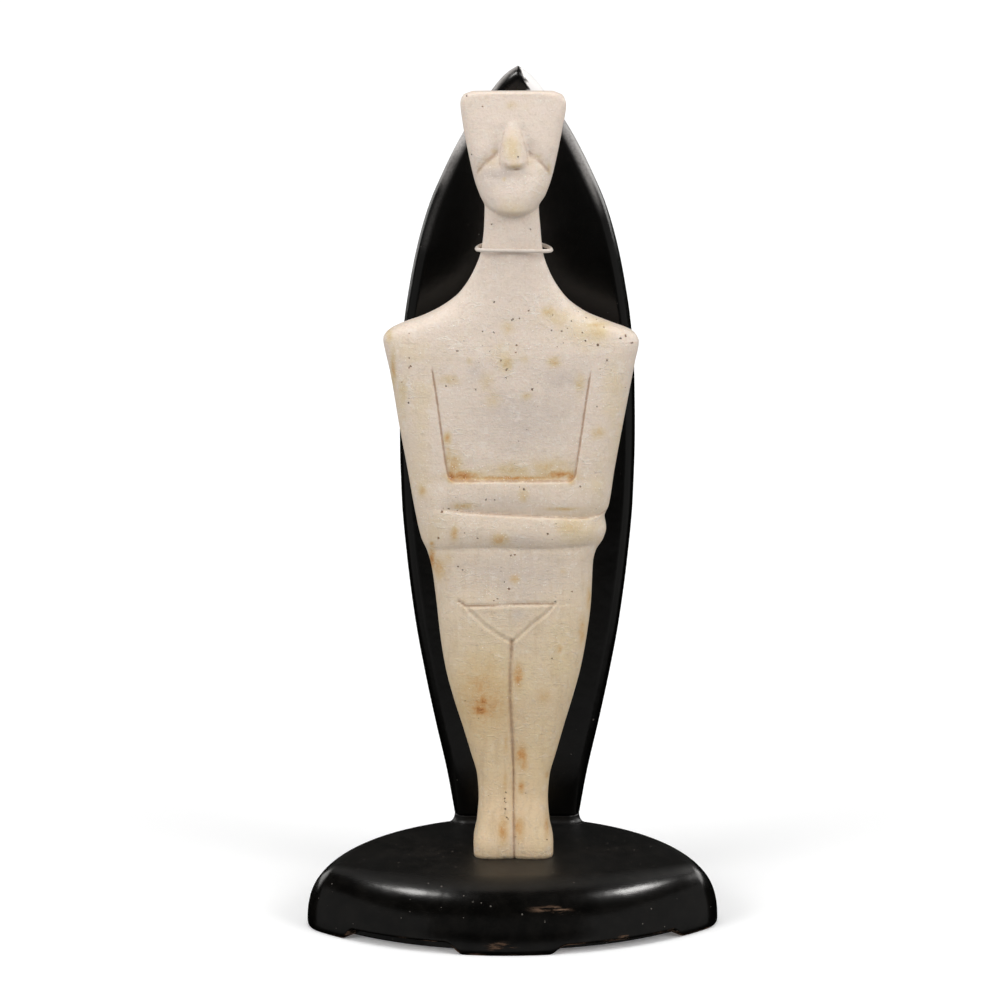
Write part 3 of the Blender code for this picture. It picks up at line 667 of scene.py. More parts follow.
left_painted_glare = left_painted_glare + (left_point - left_painted_glare) * point
bloom = np.where(ring_x > 0, right_painted_glare, left_painted_glare) * (ring_y < 0.2)
high_up = ramp(board_up, 240, 285)
mark(board, "bloom", bloom)
mark(board, "wear", 0.20 * high_up * hump(from_edge - BOARD_RIM, 1.5) * (ring_y < 0.2))
mark(board, "dust", 0.06 + 0.25 * high_up * hump(from_edge - 2.5, 2.5))
mark(board, "matte", 0.15 * high_up * np.ones(ring_x.shape))
print("bloom is strongest at", bloom.max().round(2))

# %% [markdown]
# The base is lens-shaped in plan, with a shallow front arc, a flatter back arc and
# two rounded corners. A ring round it is the set of places at equal distances along
# the four arcs, each with its outward normal, so that the same ring can be drawn
# inwards. Its wall rolls over into the top along a quarter of an ellipse.

# %% The plan of the base
base_low, base_high = node_box("stand_base")
BASE_HALF_WIDTH = (base_high[0] - base_low[0]) / 2
BASE_DEPTH = base_high[1] - base_low[1]
FRONT_RADIUS = 102.8
CORNER_RADIUS = 15.6
BASE_SKEW = 0.021
BASE_AROUND = 480


def base_arcs():
    """The lens as arcs, (centre x, centre y, radius, start angle, turn), from the front.

    The corner circles touch both big arcs from inside, so the centres lie on a line.
    """
    front, corner = FRONT_RADIUS, CORNER_RADIUS
    side_x = BASE_HALF_WIDTH - corner
    side_y = front - np.sqrt((front - corner) ** 2 - side_x ** 2)
    reach = BASE_DEPTH - side_y
    back = (side_x ** 2 + reach ** 2 - corner ** 2) / (2 * (reach - corner))
    front_turn = np.arctan2(side_x, front - side_y)
    back_turn = np.arctan2(side_x, back - reach)
    side_turn = np.pi - front_turn - back_turn
    quarter, middle = np.pi / 2, BASE_DEPTH / 2
    return np.array((
        (0.0, front - middle, front, -quarter, front_turn),
        (side_x, side_y - middle, corner, front_turn - quarter, side_turn),
        (0.0, middle - back, back, quarter - back_turn, 2 * back_turn),
        (-side_x, side_y - middle, corner, quarter + back_turn, side_turn),
        (0.0, front - middle, front, 3 * quarter - front_turn, front_turn),
    ))


def base_plan(count):
    """Places and outward normals, evenly spaced round the lens."""
    arcs = base_arcs()
    ends = np.concatenate([[0], np.cumsum(arcs[:, 2] * arcs[:, 4])])
    along = np.arange(count) / count * ends[-1]
    which = np.clip(np.searchsorted(ends, along, side="right") - 1, 0, len(arcs) - 1)
    x, y, radius, start, _ = arcs[which].T
    angle = start + (along - ends[which]) / radius
    normal = np.stack([np.cos(angle), np.sin(angle)], 1)
    return np.stack([x, y], 1) + normal * radius[:, None], normal


plan, plan_normal = base_plan(BASE_AROUND)
print("plan", np.ptp(plan, axis=0).round(1), "mm")

# %% [markdown]
# The base stands on four bracket feet: one in front, one behind and one at each
# corner. Shallow arches are cut between them, but only a few millimetres deep, so the
# core of the base shows black behind each arch. The lower edge of the wall rises by
# an arch's height where two ramps agree that it is past one foot and short of the
# next. Each level is a list of an inset and a height for every place round the plan.
# The roll is wider in front than at the corners, so that the edge of the top is nearly
# straight there. It is a quarter of a superellipse, a little squarer than an ellipse:
# the sine and the cosine of the turn are raised to a power just under 1.

# %% The wall, the roll and the top of the base
BASE_TOP = 24.5
BACK_ROLL = 15.0
ROLL_WIDTHS = (  # degrees round from the front, width of the roll
    (0, 19.5), (26, 15.8), (45, 11.8), (75, 13.5), (100, 15.0), (180, 15.0),
)
ROLL_HEIGHT = 22.6
ROLL_POWER = 0.94
SIDE_DROP = 1.7
FOOT_DEPTH = 6.0
CORE_LIFT = 0.4
EDGE_BREAK = 0.8
FRONT_FOOT = (-2.6, 15.5)
BACK_FOOT = (0.0, 20.0)
FOOT_FLANK = 6.3
SIDE_FOOT = (58.5, 62.5)
ARCHES = (4.2, 3.2)
ROLL_ROWS = 56
TOP_ROWS = 30


def side_drop(x):
    """The top sags towards the two corners with the square of the distance."""
    return SIDE_DROP * (x / BASE_HALF_WIDTH) ** 2


def foot_lift(place):
    """Height of the lower edge: nothing at a foot, an arch's height between two."""
    x, y = place.T
    arch = np.where(x < 0, *ARCHES)
    middle = np.where(y < 0, FRONT_FOOT[0], BACK_FOOT[0])
    half = np.where(y < 0, FRONT_FOOT[1], BACK_FOOT[1])
    past_middle = ramp(np.abs(x - middle), half, half + FOOT_FLANK)
    before_side = 1 - ramp(np.abs(x), *SIDE_FOOT)
    return arch * past_middle * before_side


def roll_in(turn):
    """Inset of the roll after a turn, in radians, from the wall."""
    return roll_width * (1 - np.cos(turn) ** ROLL_POWER)


def roll_up(turn):
    """Height of the roll after a turn."""
    return wall_foot + ROLL_HEIGHT * np.sin(turn) ** ROLL_POWER


def base_ring(inset, height):
    """The plan drawn inwards by a distance, at a height."""
    px, py = (plan - plan_normal * np.broadcast_to(inset, lift.shape)[:, None]).T
    sag = side_drop(px) * np.clip(height / BASE_TOP, 0, 1) ** 2
    return np.stack([px, py + BASE_SKEW * px, height - sag], 1)


lift = foot_lift(plan)
facing = np.degrees(np.arctan2(np.abs(plan_normal[:, 0]), -plan_normal[:, 1]))
roll_width = through(ROLL_WIDTHS, facing)
wall_foot = BASE_TOP - ROLL_HEIGHT
first_rise = np.clip((lift + EDGE_BREAK - wall_foot) / ROLL_HEIGHT, 0, 1)
first_turn = np.arcsin(first_rise ** (1 / ROLL_POWER))
first_inset = roll_in(first_turn)
first_height = roll_up(first_turn)
core = np.full(lift.shape, CORE_LIFT)
base_rings = [base_ring(FOOT_DEPTH + more, core) for more in (12, 1, 0.3)]
for part in (0, 0.08, 0.5, 0.92, 1):
    base_rings.append(base_ring(FOOT_DEPTH, core + (lift - core) * part))
base_rings += [base_ring(FOOT_DEPTH - 0.2, lift), base_ring(first_inset + 1.4, lift)]
for angle in np.linspace(0, np.pi / 2, 6)[:-1]:
    corner = first_inset + EDGE_BREAK * (1 - np.sin(angle))
    base_rings.append(base_ring(corner, lift + (first_height - lift) * (1 - np.cos(angle))))
for step in np.linspace(0, 1, ROLL_ROWS):
    angle = first_turn + (np.pi / 2 - first_turn) * step
    base_rings.append(base_ring(roll_in(angle), roll_up(angle)))
rim = base_rings[-1]
for part in np.linspace(1, 0, TOP_ROWS + 1)[1:-1]:
    inner = rim * (part, part, 1)
    inner[:, 2] = BASE_TOP - side_drop(inner[:, 0])
    base_rings.append(inner)
base_rings = np.array(base_rings)
for side in (0, 1):
    reach = base_rings[:, :, side]
    ends = (base_low[side], base_high[side])
    base_rings[:, :, side] = np.interp(reach, (reach.min(), reach.max()), ends)
base = skin("stand_base_body", base_rings)

# %% [markdown]
# The board stands in a raised seat, whose flank hollows out and runs down onto the top
# of the base, like a fillet that was carved with a round gouge: a quarter of an
# ellipse again, this time turned inside out.

# %% The seat under the board
SEAT_FLARE = 2.4
SEAT_ROOT = 12.0
SEAT_ROWS = 14
seat_top = base_high[2]
seat_x, seat_y = (part[0] for part in board_ring(np.array([[foot]])))
section = np.stack([BOARD_X + seat_x, board_y + thick * seat_y], 1)
along = np.roll(section, -1, axis=0) - np.roll(section, 1, axis=0)
out = np.stack([along[:, 1], -along[:, 0]], 1)
out /= np.linalg.norm(out, axis=1)[:, None]


def base_surface(x, y):
    """Height of the base's upper side over the rear part of the plan."""
    _, back_y, back, _, _ = base_arcs()[2]
    inset = np.clip(back - np.hypot(x, y - BASE_SKEW * x - back_y), 0, BACK_ROLL)
    turn = np.arccos((1 - inset / BACK_ROLL) ** (1 / ROLL_POWER))
    return roll_up(turn) - side_drop(x)


land = section + out * SEAT_FLARE
ground = base_surface(*land.T)
seat_rings = [
    np.column_stack([section - out, np.full(len(section), SEAT_ROOT)]),
    np.column_stack([land, np.maximum(ground - SEAT_FLARE, SEAT_ROOT + 1)]),
]
for angle in np.linspace(np.pi / 2, 0, SEAT_ROWS):
    flare = section + out * SEAT_FLARE * (1 - np.cos(angle))
    seat_rings.append(np.column_stack([flare, seat_top - (seat_top - ground) * np.sin(angle)]))
seat = skin("stand_seat", np.array(seat_rings))

# %% [markdown]
# Handling has rubbed the black through to brown wood in a few places: on the wall
# below the highlights, on the edges of the arches, and in faint spots on the top.
# These are bells in space, measured from a few places on the skin of the base.

# %% Where the base is worn
# Each scuff: x, y, z, half width, half depth and height, and strength.
SCUFFS = (
    (18.0, -48.6, 16.2, 10.5, 1.7, 0.90), (-4, -52, 3.5, 5.5, 1.8, 0.9),
    (34, -43.5, 4.4, 11, 1.2, 1.0), (49, -34, 4.2, 6, 0.9, 0.9),
    (-51, -33, 4.0, 4, 0.8, 0.8), (-65, -14, 12, 4, 6, 0.4), (-4, -46, 19, 2.5, 1, 0.4),
    (-58, 4, 23, 3, 2, 0.4), (58, 20, 15, 8, 5, 0.35), (-40, 38, 12, 12, 5, 0.35),
)
# Each patch of dust: x, y, half width, half depth and strength.
TOP_DUST = (
    (-30, -2, 18, 16, 1.0), (30, 2, 20, 18, 0.6), (0, -25, 30, 8, 0.4), (-45, 12, 14, 10, 0.7),
)
bx, by, bz = np.moveaxis(base_rings, 2, 0)
wear = np.zeros(bx.shape)
for sx, sy, sz, wide, tall, strength in SCUFFS:
    far = np.hypot((bx - sx) / wide, np.hypot(by - sy, bz - sz) / tall)
    wear = np.maximum(wear, strength * hump(far, 1))
rim_edge = hump(bz - lift[None, :], 0.9) * (bz < 6)
mark(base, "wear", np.maximum(wear, 0.66 * rim_edge))
flank = np.array(seat_rings)[:, :, 2]
mark(seat, "wear", 0.2 * hump(flank - seat_top, 0.5))
on_top = ramp(bz, BASE_TOP - 4, BASE_TOP - 1.5)
dusty = np.zeros(bx.shape)
for sx, sy, wide, deep, strength in TOP_DUST:
    dusty = np.maximum(dusty, strength * hump(np.hypot((bx - sx) / wide, (by - sy) / deep), 1))
mark(base, "dust", on_top * (0.3 + 0.7 * dusty) + 0.24 * (1 - on_top))
mark(base, "matte", on_top)
mark(seat, "dust", 0.3 + 0 * flank)
mark(seat, "matte", 0.8 + 0 * flank)
print("wear is strongest at", wear.max().round(2))

# %% [markdown]
# A wire of 1.4 mm, painted the colour of the stone, runs round the neck and back to
# the board. It was bent over a former, so it is a smooth curve, and only one side of
# its route is written down. A tube is a circle carried along the route: the circle
# lies in the plane of the route's own sideways direction and of straight up.

# %% The neck wire
WIRE_RADIUS = 0.7
WIRE_X = 0.3
WIRE_ROUTE = (
    (0.0, -11.1), (8.4, -11.1), (11.6, -10.6), (13.1, -8.9), (13.3, -6.6),
    (12.6, 0.0), (10.6, 7.0), (7.6, 15.0), (4.6, 24.0), (3.2, 31.2),
)
WIRE_AROUND = 20
WIRE_STEPS = 181
WIRE_TILT = 0.014
wire_low, wire_high = node_box("neck_wire")
wire_z = (wire_low[2] + wire_high[2]) / 2
half_route = np.array(WIRE_ROUTE)
chord = np.concatenate([[0], np.cumsum(np.hypot(*np.diff(half_route, axis=0).T))])
at = np.linspace(-chord[-1], chord[-1], WIRE_STEPS)
side = np.sign(at) * through(np.column_stack([chord, half_route[:, 0]]), np.abs(at))
depth = through(np.column_stack([chord, half_route[:, 1]]), np.abs(at))
route = np.stack([WIRE_X + side, depth, wire_z - WIRE_TILT * side], 1)
ahead = np.gradient(route, axis=0)
sideways = np.stack([ahead[:, 1], -ahead[:, 0]], 1)
sideways /= np.linalg.norm(sideways, axis=1)[:, None]
angle = np.arange(WIRE_AROUND) / WIRE_AROUND * 2 * np.pi
tube = route[:, None, :] + WIRE_RADIUS * np.stack([
    np.cos(angle) * sideways[:, :1], np.cos(angle) * sideways[:, 1:],
    np.broadcast_to(np.sin(angle), (len(route), WIRE_AROUND))], 2)
wire = skin("neck_wire_painted", tube)
print("wire", round(2 * chord[-1], 1), "mm long")

# %% [markdown]
# Finishes are node trees. Written out link by link they hide what they mean, so one
# small class wraps an output socket and lets us do arithmetic on it: each operator
# adds a Math node. Any other node comes from one method that takes its type, its
# settings and its inputs. Colours are mixed by Mix nodes, since Math would make
# them grey.

# %% A socket that can do arithmetic
class Field:
    """A value that varies over a surface: one output socket of a node tree."""

    def __init__(self, tree, socket=None):
        self.tree, self.socket = tree, socket

    def node(self, kind, settings=None, inputs=None, output=0):
        """Adds any node: first its settings, then the values or links of its inputs."""
        made = self.tree.nodes.new("ShaderNode" + kind)
        for name, value in (settings or {}).items():
            if name == "stops":
                while len(made.color_ramp.elements) < len(value):
                    made.color_ramp.elements.new(0.5)
                for stop, (place, colour) in zip(made.color_ramp.elements, value):
                    stop.position, stop.color = place, (*colour, 1)
            else:
                setattr(made, name, value)
        for name, value in (inputs or {}).items():
            if isinstance(value, Field):
                self.tree.links.new(value.socket, made.inputs[name])
            else:
                made.inputs[name].default_value = value
        return Field(self.tree, made.outputs[output])

    def math(self, operation, *values):
        return self.node("Math", {"operation": operation}, dict(enumerate(values)))

    def __add__(self, other):
        return self.math("ADD", self, other)

    def __sub__(self, other):
        return self.math("SUBTRACT", self, other)

    def __rsub__(self, other):
        return self.math("SUBTRACT", other, self)

    def __mul__(self, other):
        return self.math("MULTIPLY", self, other)

    def step(self, start, end, low=0.0, high=1.0):
        """Low up to start, high from end on, and an even S between."""
        settings = {"interpolation_type": "SMOOTHSTEP"}
        values = {"Value": self, "From Min": start, "From Max": end, "To Min": low, "To Max": high}
        return self.node("MapRange", settings, values)

    def at_most(self, other):
        return self.math("MINIMUM", self, other)

    def at_least(self, other):
        return self.math("MAXIMUM", self, other)

    def size(self):
        return self.math("ABSOLUTE", self)

    def part(self, letter):
        """One component of a vector or a colour."""
        return self.node("SeparateXYZ", None, {0: self}, letter)


def mix(factor, first, second, blend="MIX"):
    """A colour between two colours, by a Mix node."""
    settings = {"data_type": "RGBA", "blend_type": blend}
    colours = [(*c, 1) if isinstance(c, tuple) else c for c in (first, second)]
    return factor.node("Mix", settings, {0: factor, 6: colours[0], 7: colours[1]}, 2)


print("arithmetic on sockets is ready")

# %% [markdown]
# All three finishes need the same few patterns. A pattern sits still on its piece if
# it reads Object coordinates, which are metres here. A scale of 1000 therefore makes
# features of about a millimetre. Stretching the coordinates first turns grains into
# scratches or streaks.

# %% Patterns on Object coordinates
class Finish:
    """A material under way: its shader, its coordinates and its patterns."""

    def __init__(self, name):
        self.material = bpy.data.materials.new(name)
        self.material.use_nodes = True
        self.tree = self.material.node_tree
        self.shader = self.tree.nodes["Principled BSDF"]
        self.any = Field(self.tree)
        self.place = self.any.node("TexCoord", output="Object")

    def stretched(self, scale, turn=(0.0, 0.0, 0.0)):
        """The coordinates, turned and scaled along each axis."""
        values = {"Vector": self.place, "Scale": scale, "Rotation": turn}
        return self.any.node("Mapping", None, values)

    def noise(self, scale, detail=2.0, rough=0.5, place=None, warp=0.0):
        values = {"Vector": place or self.place, "Scale": scale, "Detail": detail,
                  "Roughness": rough, "Distortion": warp}
        return self.any.node("TexNoise", None, values)

    def cells(self, scale, output="Distance", place=None):
        """Scattered points: the distance to the nearest, or a colour for each."""
        values = {"Vector": place or self.place, "Scale": scale}
        return self.any.node("TexVoronoi", None, values, output)

    def grains(self, scale, size, share, place=None):
        """Scattered dots up to a size, of which only a share, from 0 to 1, is kept."""
        lots = self.cells(scale, "Color", place)
        spread = self.cells(scale, place=place) * (lots.part("Y") * 1.2 + 0.8)
        return spread.step(size, size * 0.6) * (share - lots.part("X")).step(0, 0.02)

    def hairs(self, scale, width, place=None):
        """Thin curved lines: where a noise passes through its middle value."""
        return (self.noise(scale, 2.0, 0.5, place) - 0.5).size().step(width, width * 0.3)

    def layer(self, name):
        """The number that was stored at each vertex under a name."""
        return self.any.node("Attribute", {"attribute_name": name}, None, "Fac")

    def axis(self, letter):
        return self.place.part(letter)

    def feed(self, **sockets):
        """Links fields to the shader's sockets and sets plain numbers on them."""
        for name, value in sockets.items():
            socket = self.shader.inputs[name.replace("_", " ")]
            if isinstance(value, Field):
                self.tree.links.new(value.socket, socket)
            else:
                socket.default_value = value

    def bump(self, height, distance, strength=1.0):
        """A height in the units of distance, in metres, as the shader's Normal."""
        values = {"Height": height, "Distance": distance, "Strength": strength}
        return self.any.node("Bump", None, values)


print("patterns are ready")

# %% [markdown]
# Island marble is white with a warm cast, and made of grains the size of sugar. Light
# goes a little way into it, which subsurface scattering gives. The colour is built up
# from wide to narrow: first the drift from pale pinkish stone at the head to darker
# yellow at the legs, then the warm and cool parts with clouds and mottling in them, pale
# patches, faint upright streaks on the legs, and the grain. The drift is partly the
# stone's own yellowing and partly painted light: the head is painted paler and the legs
# darker, as though the light fell brighter at the top.

# %% The marble's colour, with painted light from head to legs
marble = Finish("weathered_marble")
up = marble.axis("Z")
clouds = marble.noise(38, 4, 0.55)
mottle = marble.noise(170, 5, 0.65, warp=0.6)
grain = marble.noise(1300, 2, 0.6)
# Pinkish above, yellow below: the stone's own yellowing, and painted light, the top lighter.
drift = (up + clouds * 0.06).step(0.235, 0.105)
colour = mix(drift, (0.81, 0.70, 0.61), (0.74, 0.61, 0.44))
# Painted light: the head is made paler, as if it were lit more brightly.
colour = mix(up.step(0.226, 0.262), colour, (0.865, 0.75, 0.662))
# Darker and yellower towards the feet: the stone's own yellowing, and painted shade.
low_drift = (up + clouds * 0.05).step(0.145, 0.060, 0.0, 0.75)
colour = mix(low_drift, colour, (0.72, 0.535, 0.31))
colour = mix(up.step(0.056, 0.038, 0.0, 0.42), colour, (0.88, 0.70, 0.50))
cast = marble.layer("cast") + (clouds - 0.5) * 1.6 + (mottle - 0.5) * 1.2
colour = mix(cast.step(-0.05, -1.3) * 0.75, colour, (0.61, 0.535, 0.49))
colour = mix(cast.step(0.05, 1.2) * 0.65, colour, (0.76, 0.62, 0.38))
shade = marble.noise(420, 4, 0.7).step(0.50, 0.72)
colour = mix(shade * (drift * 0.15 + 0.20), colour, (0.54, 0.45, 0.36))
pale = marble.noise(330, 3, 0.6).step(0.54, 0.70)
colour = mix(pale * (0.35 - drift * 0.15), colour, (0.90, 0.84, 0.77))
streaks = marble.noise(420, 4, 0.65, marble.stretched((1.0, 1.0, 0.16)))
colour = mix(streaks.step(0.48, 0.70) * drift * 0.40, colour, (0.58, 0.43, 0.26))
colour = mix(grain.step(0.45, 0.75) * 0.22, colour, (0.55, 0.43, 0.34))
print("marble under way")

# %% [markdown]
# A stain has a yellow halo, which is browner on the legs, an orange body and a
# red-brown heart. One number does all three: the stain's own strength, broken up by
# noise, passes a low, a middle and a high threshold.

# %% The marble's stains
stain = marble.layer("stain")
broken = marble.noise(340, 6, 0.75, marble.stretched((1.0, 1.0, 1.0), (0.5, 0.7, 0.3)), 0.8)
amount = stain * broken.step(0.25, 0.75, 0.50, 1.30)
halo = mix(drift, (0.675, 0.525, 0.285), (0.655, 0.455, 0.235))
colour = mix(amount.step(0.02, 0.60) * 0.75, colour, halo)
colour = mix(amount.step(0.38, 1.05) * 0.85, colour, (0.58, 0.27, 0.075))
colour = mix(amount.step(0.90, 1.30) * 0.8, colour, (0.33, 0.11, 0.03))
# Earth in the lines, and painted shade in the face's creases and the dip under the nose.
earth_and_shade_edge = marble.noise(420, 3, 0.6).step(0.20, 0.60, 0.55, 1.0)
earth_and_shade_mask = (marble.layer("earth") * earth_and_shade_edge).step(0.15, 0.9)
colour = mix(earth_and_shade_mask * 0.74, colour, (0.38, 0.225, 0.140))
print("stains and earth laid on")

# %% [markdown]
# The crumbs are dots in chosen cells of a Voronoi pattern: each cell draws a lot, and
# the patches say how many win. The biggest ones have places of their own. There the
# smallest of all distances to them, measured in their own radii, makes one mask. Noise
# is added to the coordinates first, and so the crumbs aren't round.

# %% Crumbs, grains that glitter, and hairlines
CRUMB_SPOTS = (  # across, up, radius
    (-6.8, 205.5, 0.40), (5.5, 202.6, 0.40), (0.0, 199.5, 0.35), (-19.9, 188.3, 0.50),
    (-36.8, 182.6, 0.45), (-37.4, 169.3, 0.35), (6.9, 174.5, 0.55), (-2.4, 181.5, 0.45),
    (-2.6, 178.5, 0.45), (-13.4, 174.5, 0.40), (13.7, 195.6, 0.35), (17.4, 195.3, 0.40),
    (30.3, 190.2, 0.50), (33.6, 184.8, 0.35), (38.5, 192.4, 0.50), (40.3, 193.2, 0.50),
    (42.6, 190.6, 0.45), (30.1, 168.2, 0.40), (1.2, 190.3, 0.35), (15.8, 189.7, 0.30),
    (4.0, 138.3, 0.50), (24.2, 139.2, 0.50), (-9.8, 134.5, 0.35), (-6.5, 134.4, 0.35),
    (-25.6, 129.9, 0.50), (-23.2, 130.8, 0.40), (12.4, 122.0, 0.45), (-26.9, 120.1, 0.45),
    (-12.8, 120.3, 0.35), (-18.2, 108.3, 0.45), (-19.9, 109.6, 0.35), (-0.8, 113.7, 0.45),
    (0.6, 113.9, 0.40), (-1.5, 101.4, 0.55), (21.4, 100.3, 0.40), (15.3, 96.8, 0.42),
    (14.3, 75.4, 0.40), (-2.6, 24.0, 0.35), (-2.9, 21.8, 0.35), (-2.5, 20.2, 0.35),
    (-2.8, 18.0, 0.40), (-2.3, 15.0, 0.35), (-10.9, 275.1, 0.40), (-16.5, 278.6, 0.40),
    (1.8, 257.6, 0.45), (-14.7, 258.0, 0.35), (6.2, 231.4, 0.35), (-7.7, 233.2, 0.35),
)
WOBBLE = 1.2
wobble = marble.any.node("VectorMath", {"operation": "MULTIPLY_ADD"}, {
    0: marble.any.node("TexNoise", None, {"Vector": marble.place, "Scale": 1600.0}, "Color"),
    1: (WOBBLE * MM, 0.0, WOBBLE * MM),
    2: marble.any.node("CombineXYZ", None, {0: marble.axis("X"), 2: up})})
gaps = []
for at_x, at_z, radius in CRUMB_SPOTS:
    spot = ((at_x + WOBBLE / 2) * MM, 0.0, (at_z + SOLE + WOBBLE / 2) * MM)
    gap = marble.any.node("VectorMath", {"operation": "DISTANCE"}, {0: wobble, 1: spot}, "Value")
    gaps.append(gap * (1 / (radius * MM)))
nearest = gaps[0]
for gap in gaps[1:]:
    nearest = nearest.at_most(gap)
front_side = marble.axis("Y").step(-0.002, -0.004)
crumbs = nearest.step(0.95, 0.55) * front_side
ragged = marble.any.node("VectorMath", {"operation": "MULTIPLY_ADD"}, {
    0: marble.any.node("TexNoise", None, {"Vector": marble.place, "Scale": 2100.0}, "Color"),
    1: (0.0009, 0.0009, 0.0009), 2: marble.place})
small = marble.grains(760, 0.26, marble.layer("crumbs") * 0.25, ragged)
stray = marble.grains(230, 0.07, marble.noise(70, 2, 0.5).step(0.45, 0.60, 0.05, 0.6), ragged)
specks = crumbs.at_least(small).at_least(stray * 0.8)
crumb_colour = mix(mottle.step(0.40, 0.60), (0.06, 0.035, 0.02), (0.22, 0.10, 0.035))
colour = mix(specks * 0.85, colour, crumb_colour)
glitter = marble.grains(1450, 0.32, (clouds - drift * 0.20).step(0.30, 0.65, 0.04, 0.40))
colour = mix(glitter * 0.65, colour, (1.0, 0.96, 0.90))
lines = marble.hairs(120, 0.010) * marble.noise(75, 2, 0.5).step(0.46, 0.58)
scraped = marble.hairs(190, 0.012, marble.stretched((0.3, 1.0, 1.0), (0.0, 0.7, 0.0)))
lines = lines.at_least(scraped * marble.noise(90, 2, 0.5).step(0.52, 0.60))
colour = mix(lines * drift.step(0.0, 1.0, 0.26, 0.10), colour, (0.93, 0.89, 0.83))
print(len(CRUMB_SPOTS), "crumbs have places of their own")

# %% [markdown]
# The skin of the marble was rubbed smooth with emery and then etched by the soil, so
# its gloss is low and uneven. The bump adds what is too fine for the mesh: sugar-sized
# grains, level scratches from rubbing, hairlines, and pits where crumbs sit.

# %% The marble's surface
rub = marble.noise(900, 3, 0.6, place=marble.stretched((0.12, 0.12, 1.0), (0.0, 0.06, 0.0)))
rough = grain.step(0.3, 0.7, 0.42, 0.56) + amount * 0.10
height = grain * 0.7 + rub * 0.35 + mottle * 0.9 + shade * 0.25 + lines * 0.3 - specks * 0.8
marble.feed(
    Base_Color=colour, Roughness=rough, Normal=marble.bump(height, 0.00024),
    Subsurface_Weight=0.15, Subsurface_Radius=(1.0, 0.62, 0.38), Subsurface_Scale=0.0015,
    Specular_IOR_Level=0.42,
)
print("weathered marble has", len(marble.tree.nodes), "nodes")

# %% [markdown]
# The stand is pear wood under black lacquer. Black is the hardest finish to get
# right, because nearly all that is seen of it is reflection: the base colour is
# almost nothing, and what tells it from a hole are its soft highlights, a faint
# unevenness from the brush, dust, and brown wood where the black has worn through.
# The rim's painted highlight is grey where it is thin and nearly white where it is thick.

# %% Black lacquer
lacquer = Finish("worn_black_lacquer")
wear = lacquer.layer("wear")
dusty = lacquer.layer("dust")
matte = lacquer.layer("matte")
hatch = lacquer.noise(420, 4, 0.7, place=lacquer.stretched((0.22, 0.4, 1.6)))
through_black = (wear * hatch.step(0.36, 0.66)).step(0.12, 0.70)
wood = mix(lacquer.noise(500, 3, 0.6), (0.13, 0.060, 0.030), (0.30, 0.18, 0.11))
colour = mix(through_black * 0.8, (0.0015, 0.0014, 0.0012), wood)
film = lacquer.noise(150, 5, 0.7).step(0.35, 0.75) * dusty
colour = mix(film * 0.035, colour, (0.42, 0.36, 0.30))
specks = lacquer.grains(620, 0.24, dusty * 0.26)
motes = lacquer.grains(230, 0.06, lacquer.noise(90, 2, 0.5).step(0.50, 0.68, 0.0, 0.5))
dust = specks.at_least(motes)
colour = mix(dust * 0.20, colour, (0.50, 0.45, 0.40))
# Painted highlight on the board's rim and tip, broken up by noise, from grey to white.
glare_breakup = lacquer.noise(1300, 3, 0.7).step(0.30, 0.62, 0.65, 1.15)
bloom = (lacquer.layer("bloom") * glare_breakup).at_most(1.0)
painted_glare_colour = mix(bloom.step(0.75, 0.97), (0.70, 0.67, 0.66), (0.96, 0.95, 0.95))
colour = mix(bloom, colour, painted_glare_colour)
haze = lacquer.noise(60, 4, 0.6)
rough = haze.step(0.3, 0.7, 0.19, 0.24) + matte * 0.27
rough = rough + through_black * 0.35 + dust * 0.3 + bloom * 0.3
brushed = lacquer.noise(420, 2, 0.5) * 0.25 + lacquer.noise(110, 2, 0.5)
lacquer.feed(
    Base_Color=colour, Roughness=rough,
    Normal=lacquer.bump(brushed - through_black * 0.35, 0.00010),
    Specular_IOR_Level=0.5,
)
print("worn lacquer has", len(lacquer.tree.nodes), "nodes")

# %% [markdown]
# The wire's paint was mixed to match the stone. It is thin and a little glossy, and
# it has darkened in blotches where fingers bent it.

# %% Painted wire
paint = Finish("stone_coloured_paint")
blotch = paint.noise(420, 3, 0.6)
colour = mix(blotch.step(0.45, 0.70) * 0.5, (0.755, 0.68, 0.615), (0.60, 0.49, 0.40))
chips = paint.noise(900, 3, 0.7).step(0.70, 0.76)
colour = mix(chips * 0.8, colour, (0.25, 0.18, 0.13))
paint.feed(
    Base_Color=colour, Roughness=blotch.step(0.3, 0.7, 0.35, 0.5),
    Normal=paint.bump(blotch * 0.5 - chips, 0.0001),
)
print("paint has", len(paint.tree.nodes), "nodes")

# %% [markdown]
# Now every piece gets its finish and rides on the part's one body, and the CAD node
# it stands for is hidden and named in a printed line. The CAD nodes stay behind,
# unseen, for collision.

# %% Dress the pieces
DRESS = (
    (figurine, marble, "figurine", "marble"),
    (board, lacquer, "stand_back", "black_lacquer"),
    (base, lacquer, "stand_base", "black_lacquer"),
    (seat, lacquer, "stand_base", "black_lacquer"),
    (wire, paint, "neck_wire", "wire_paint"),
)
for piece, finish, node, slot in DRESS:
    piece.data.materials.append(finish.material)
    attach(piece, "root")
    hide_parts(node)
    print(piece.name, "replaces", node)

# %% [markdown]
# The studio is a wide pale floor that glows a little, so that it stays white all the
# way. Reflections, bounced light and shadows on the figurine leave the floor out: a
# real studio hides it from black lacquer with dark cloths, and here three switches do.

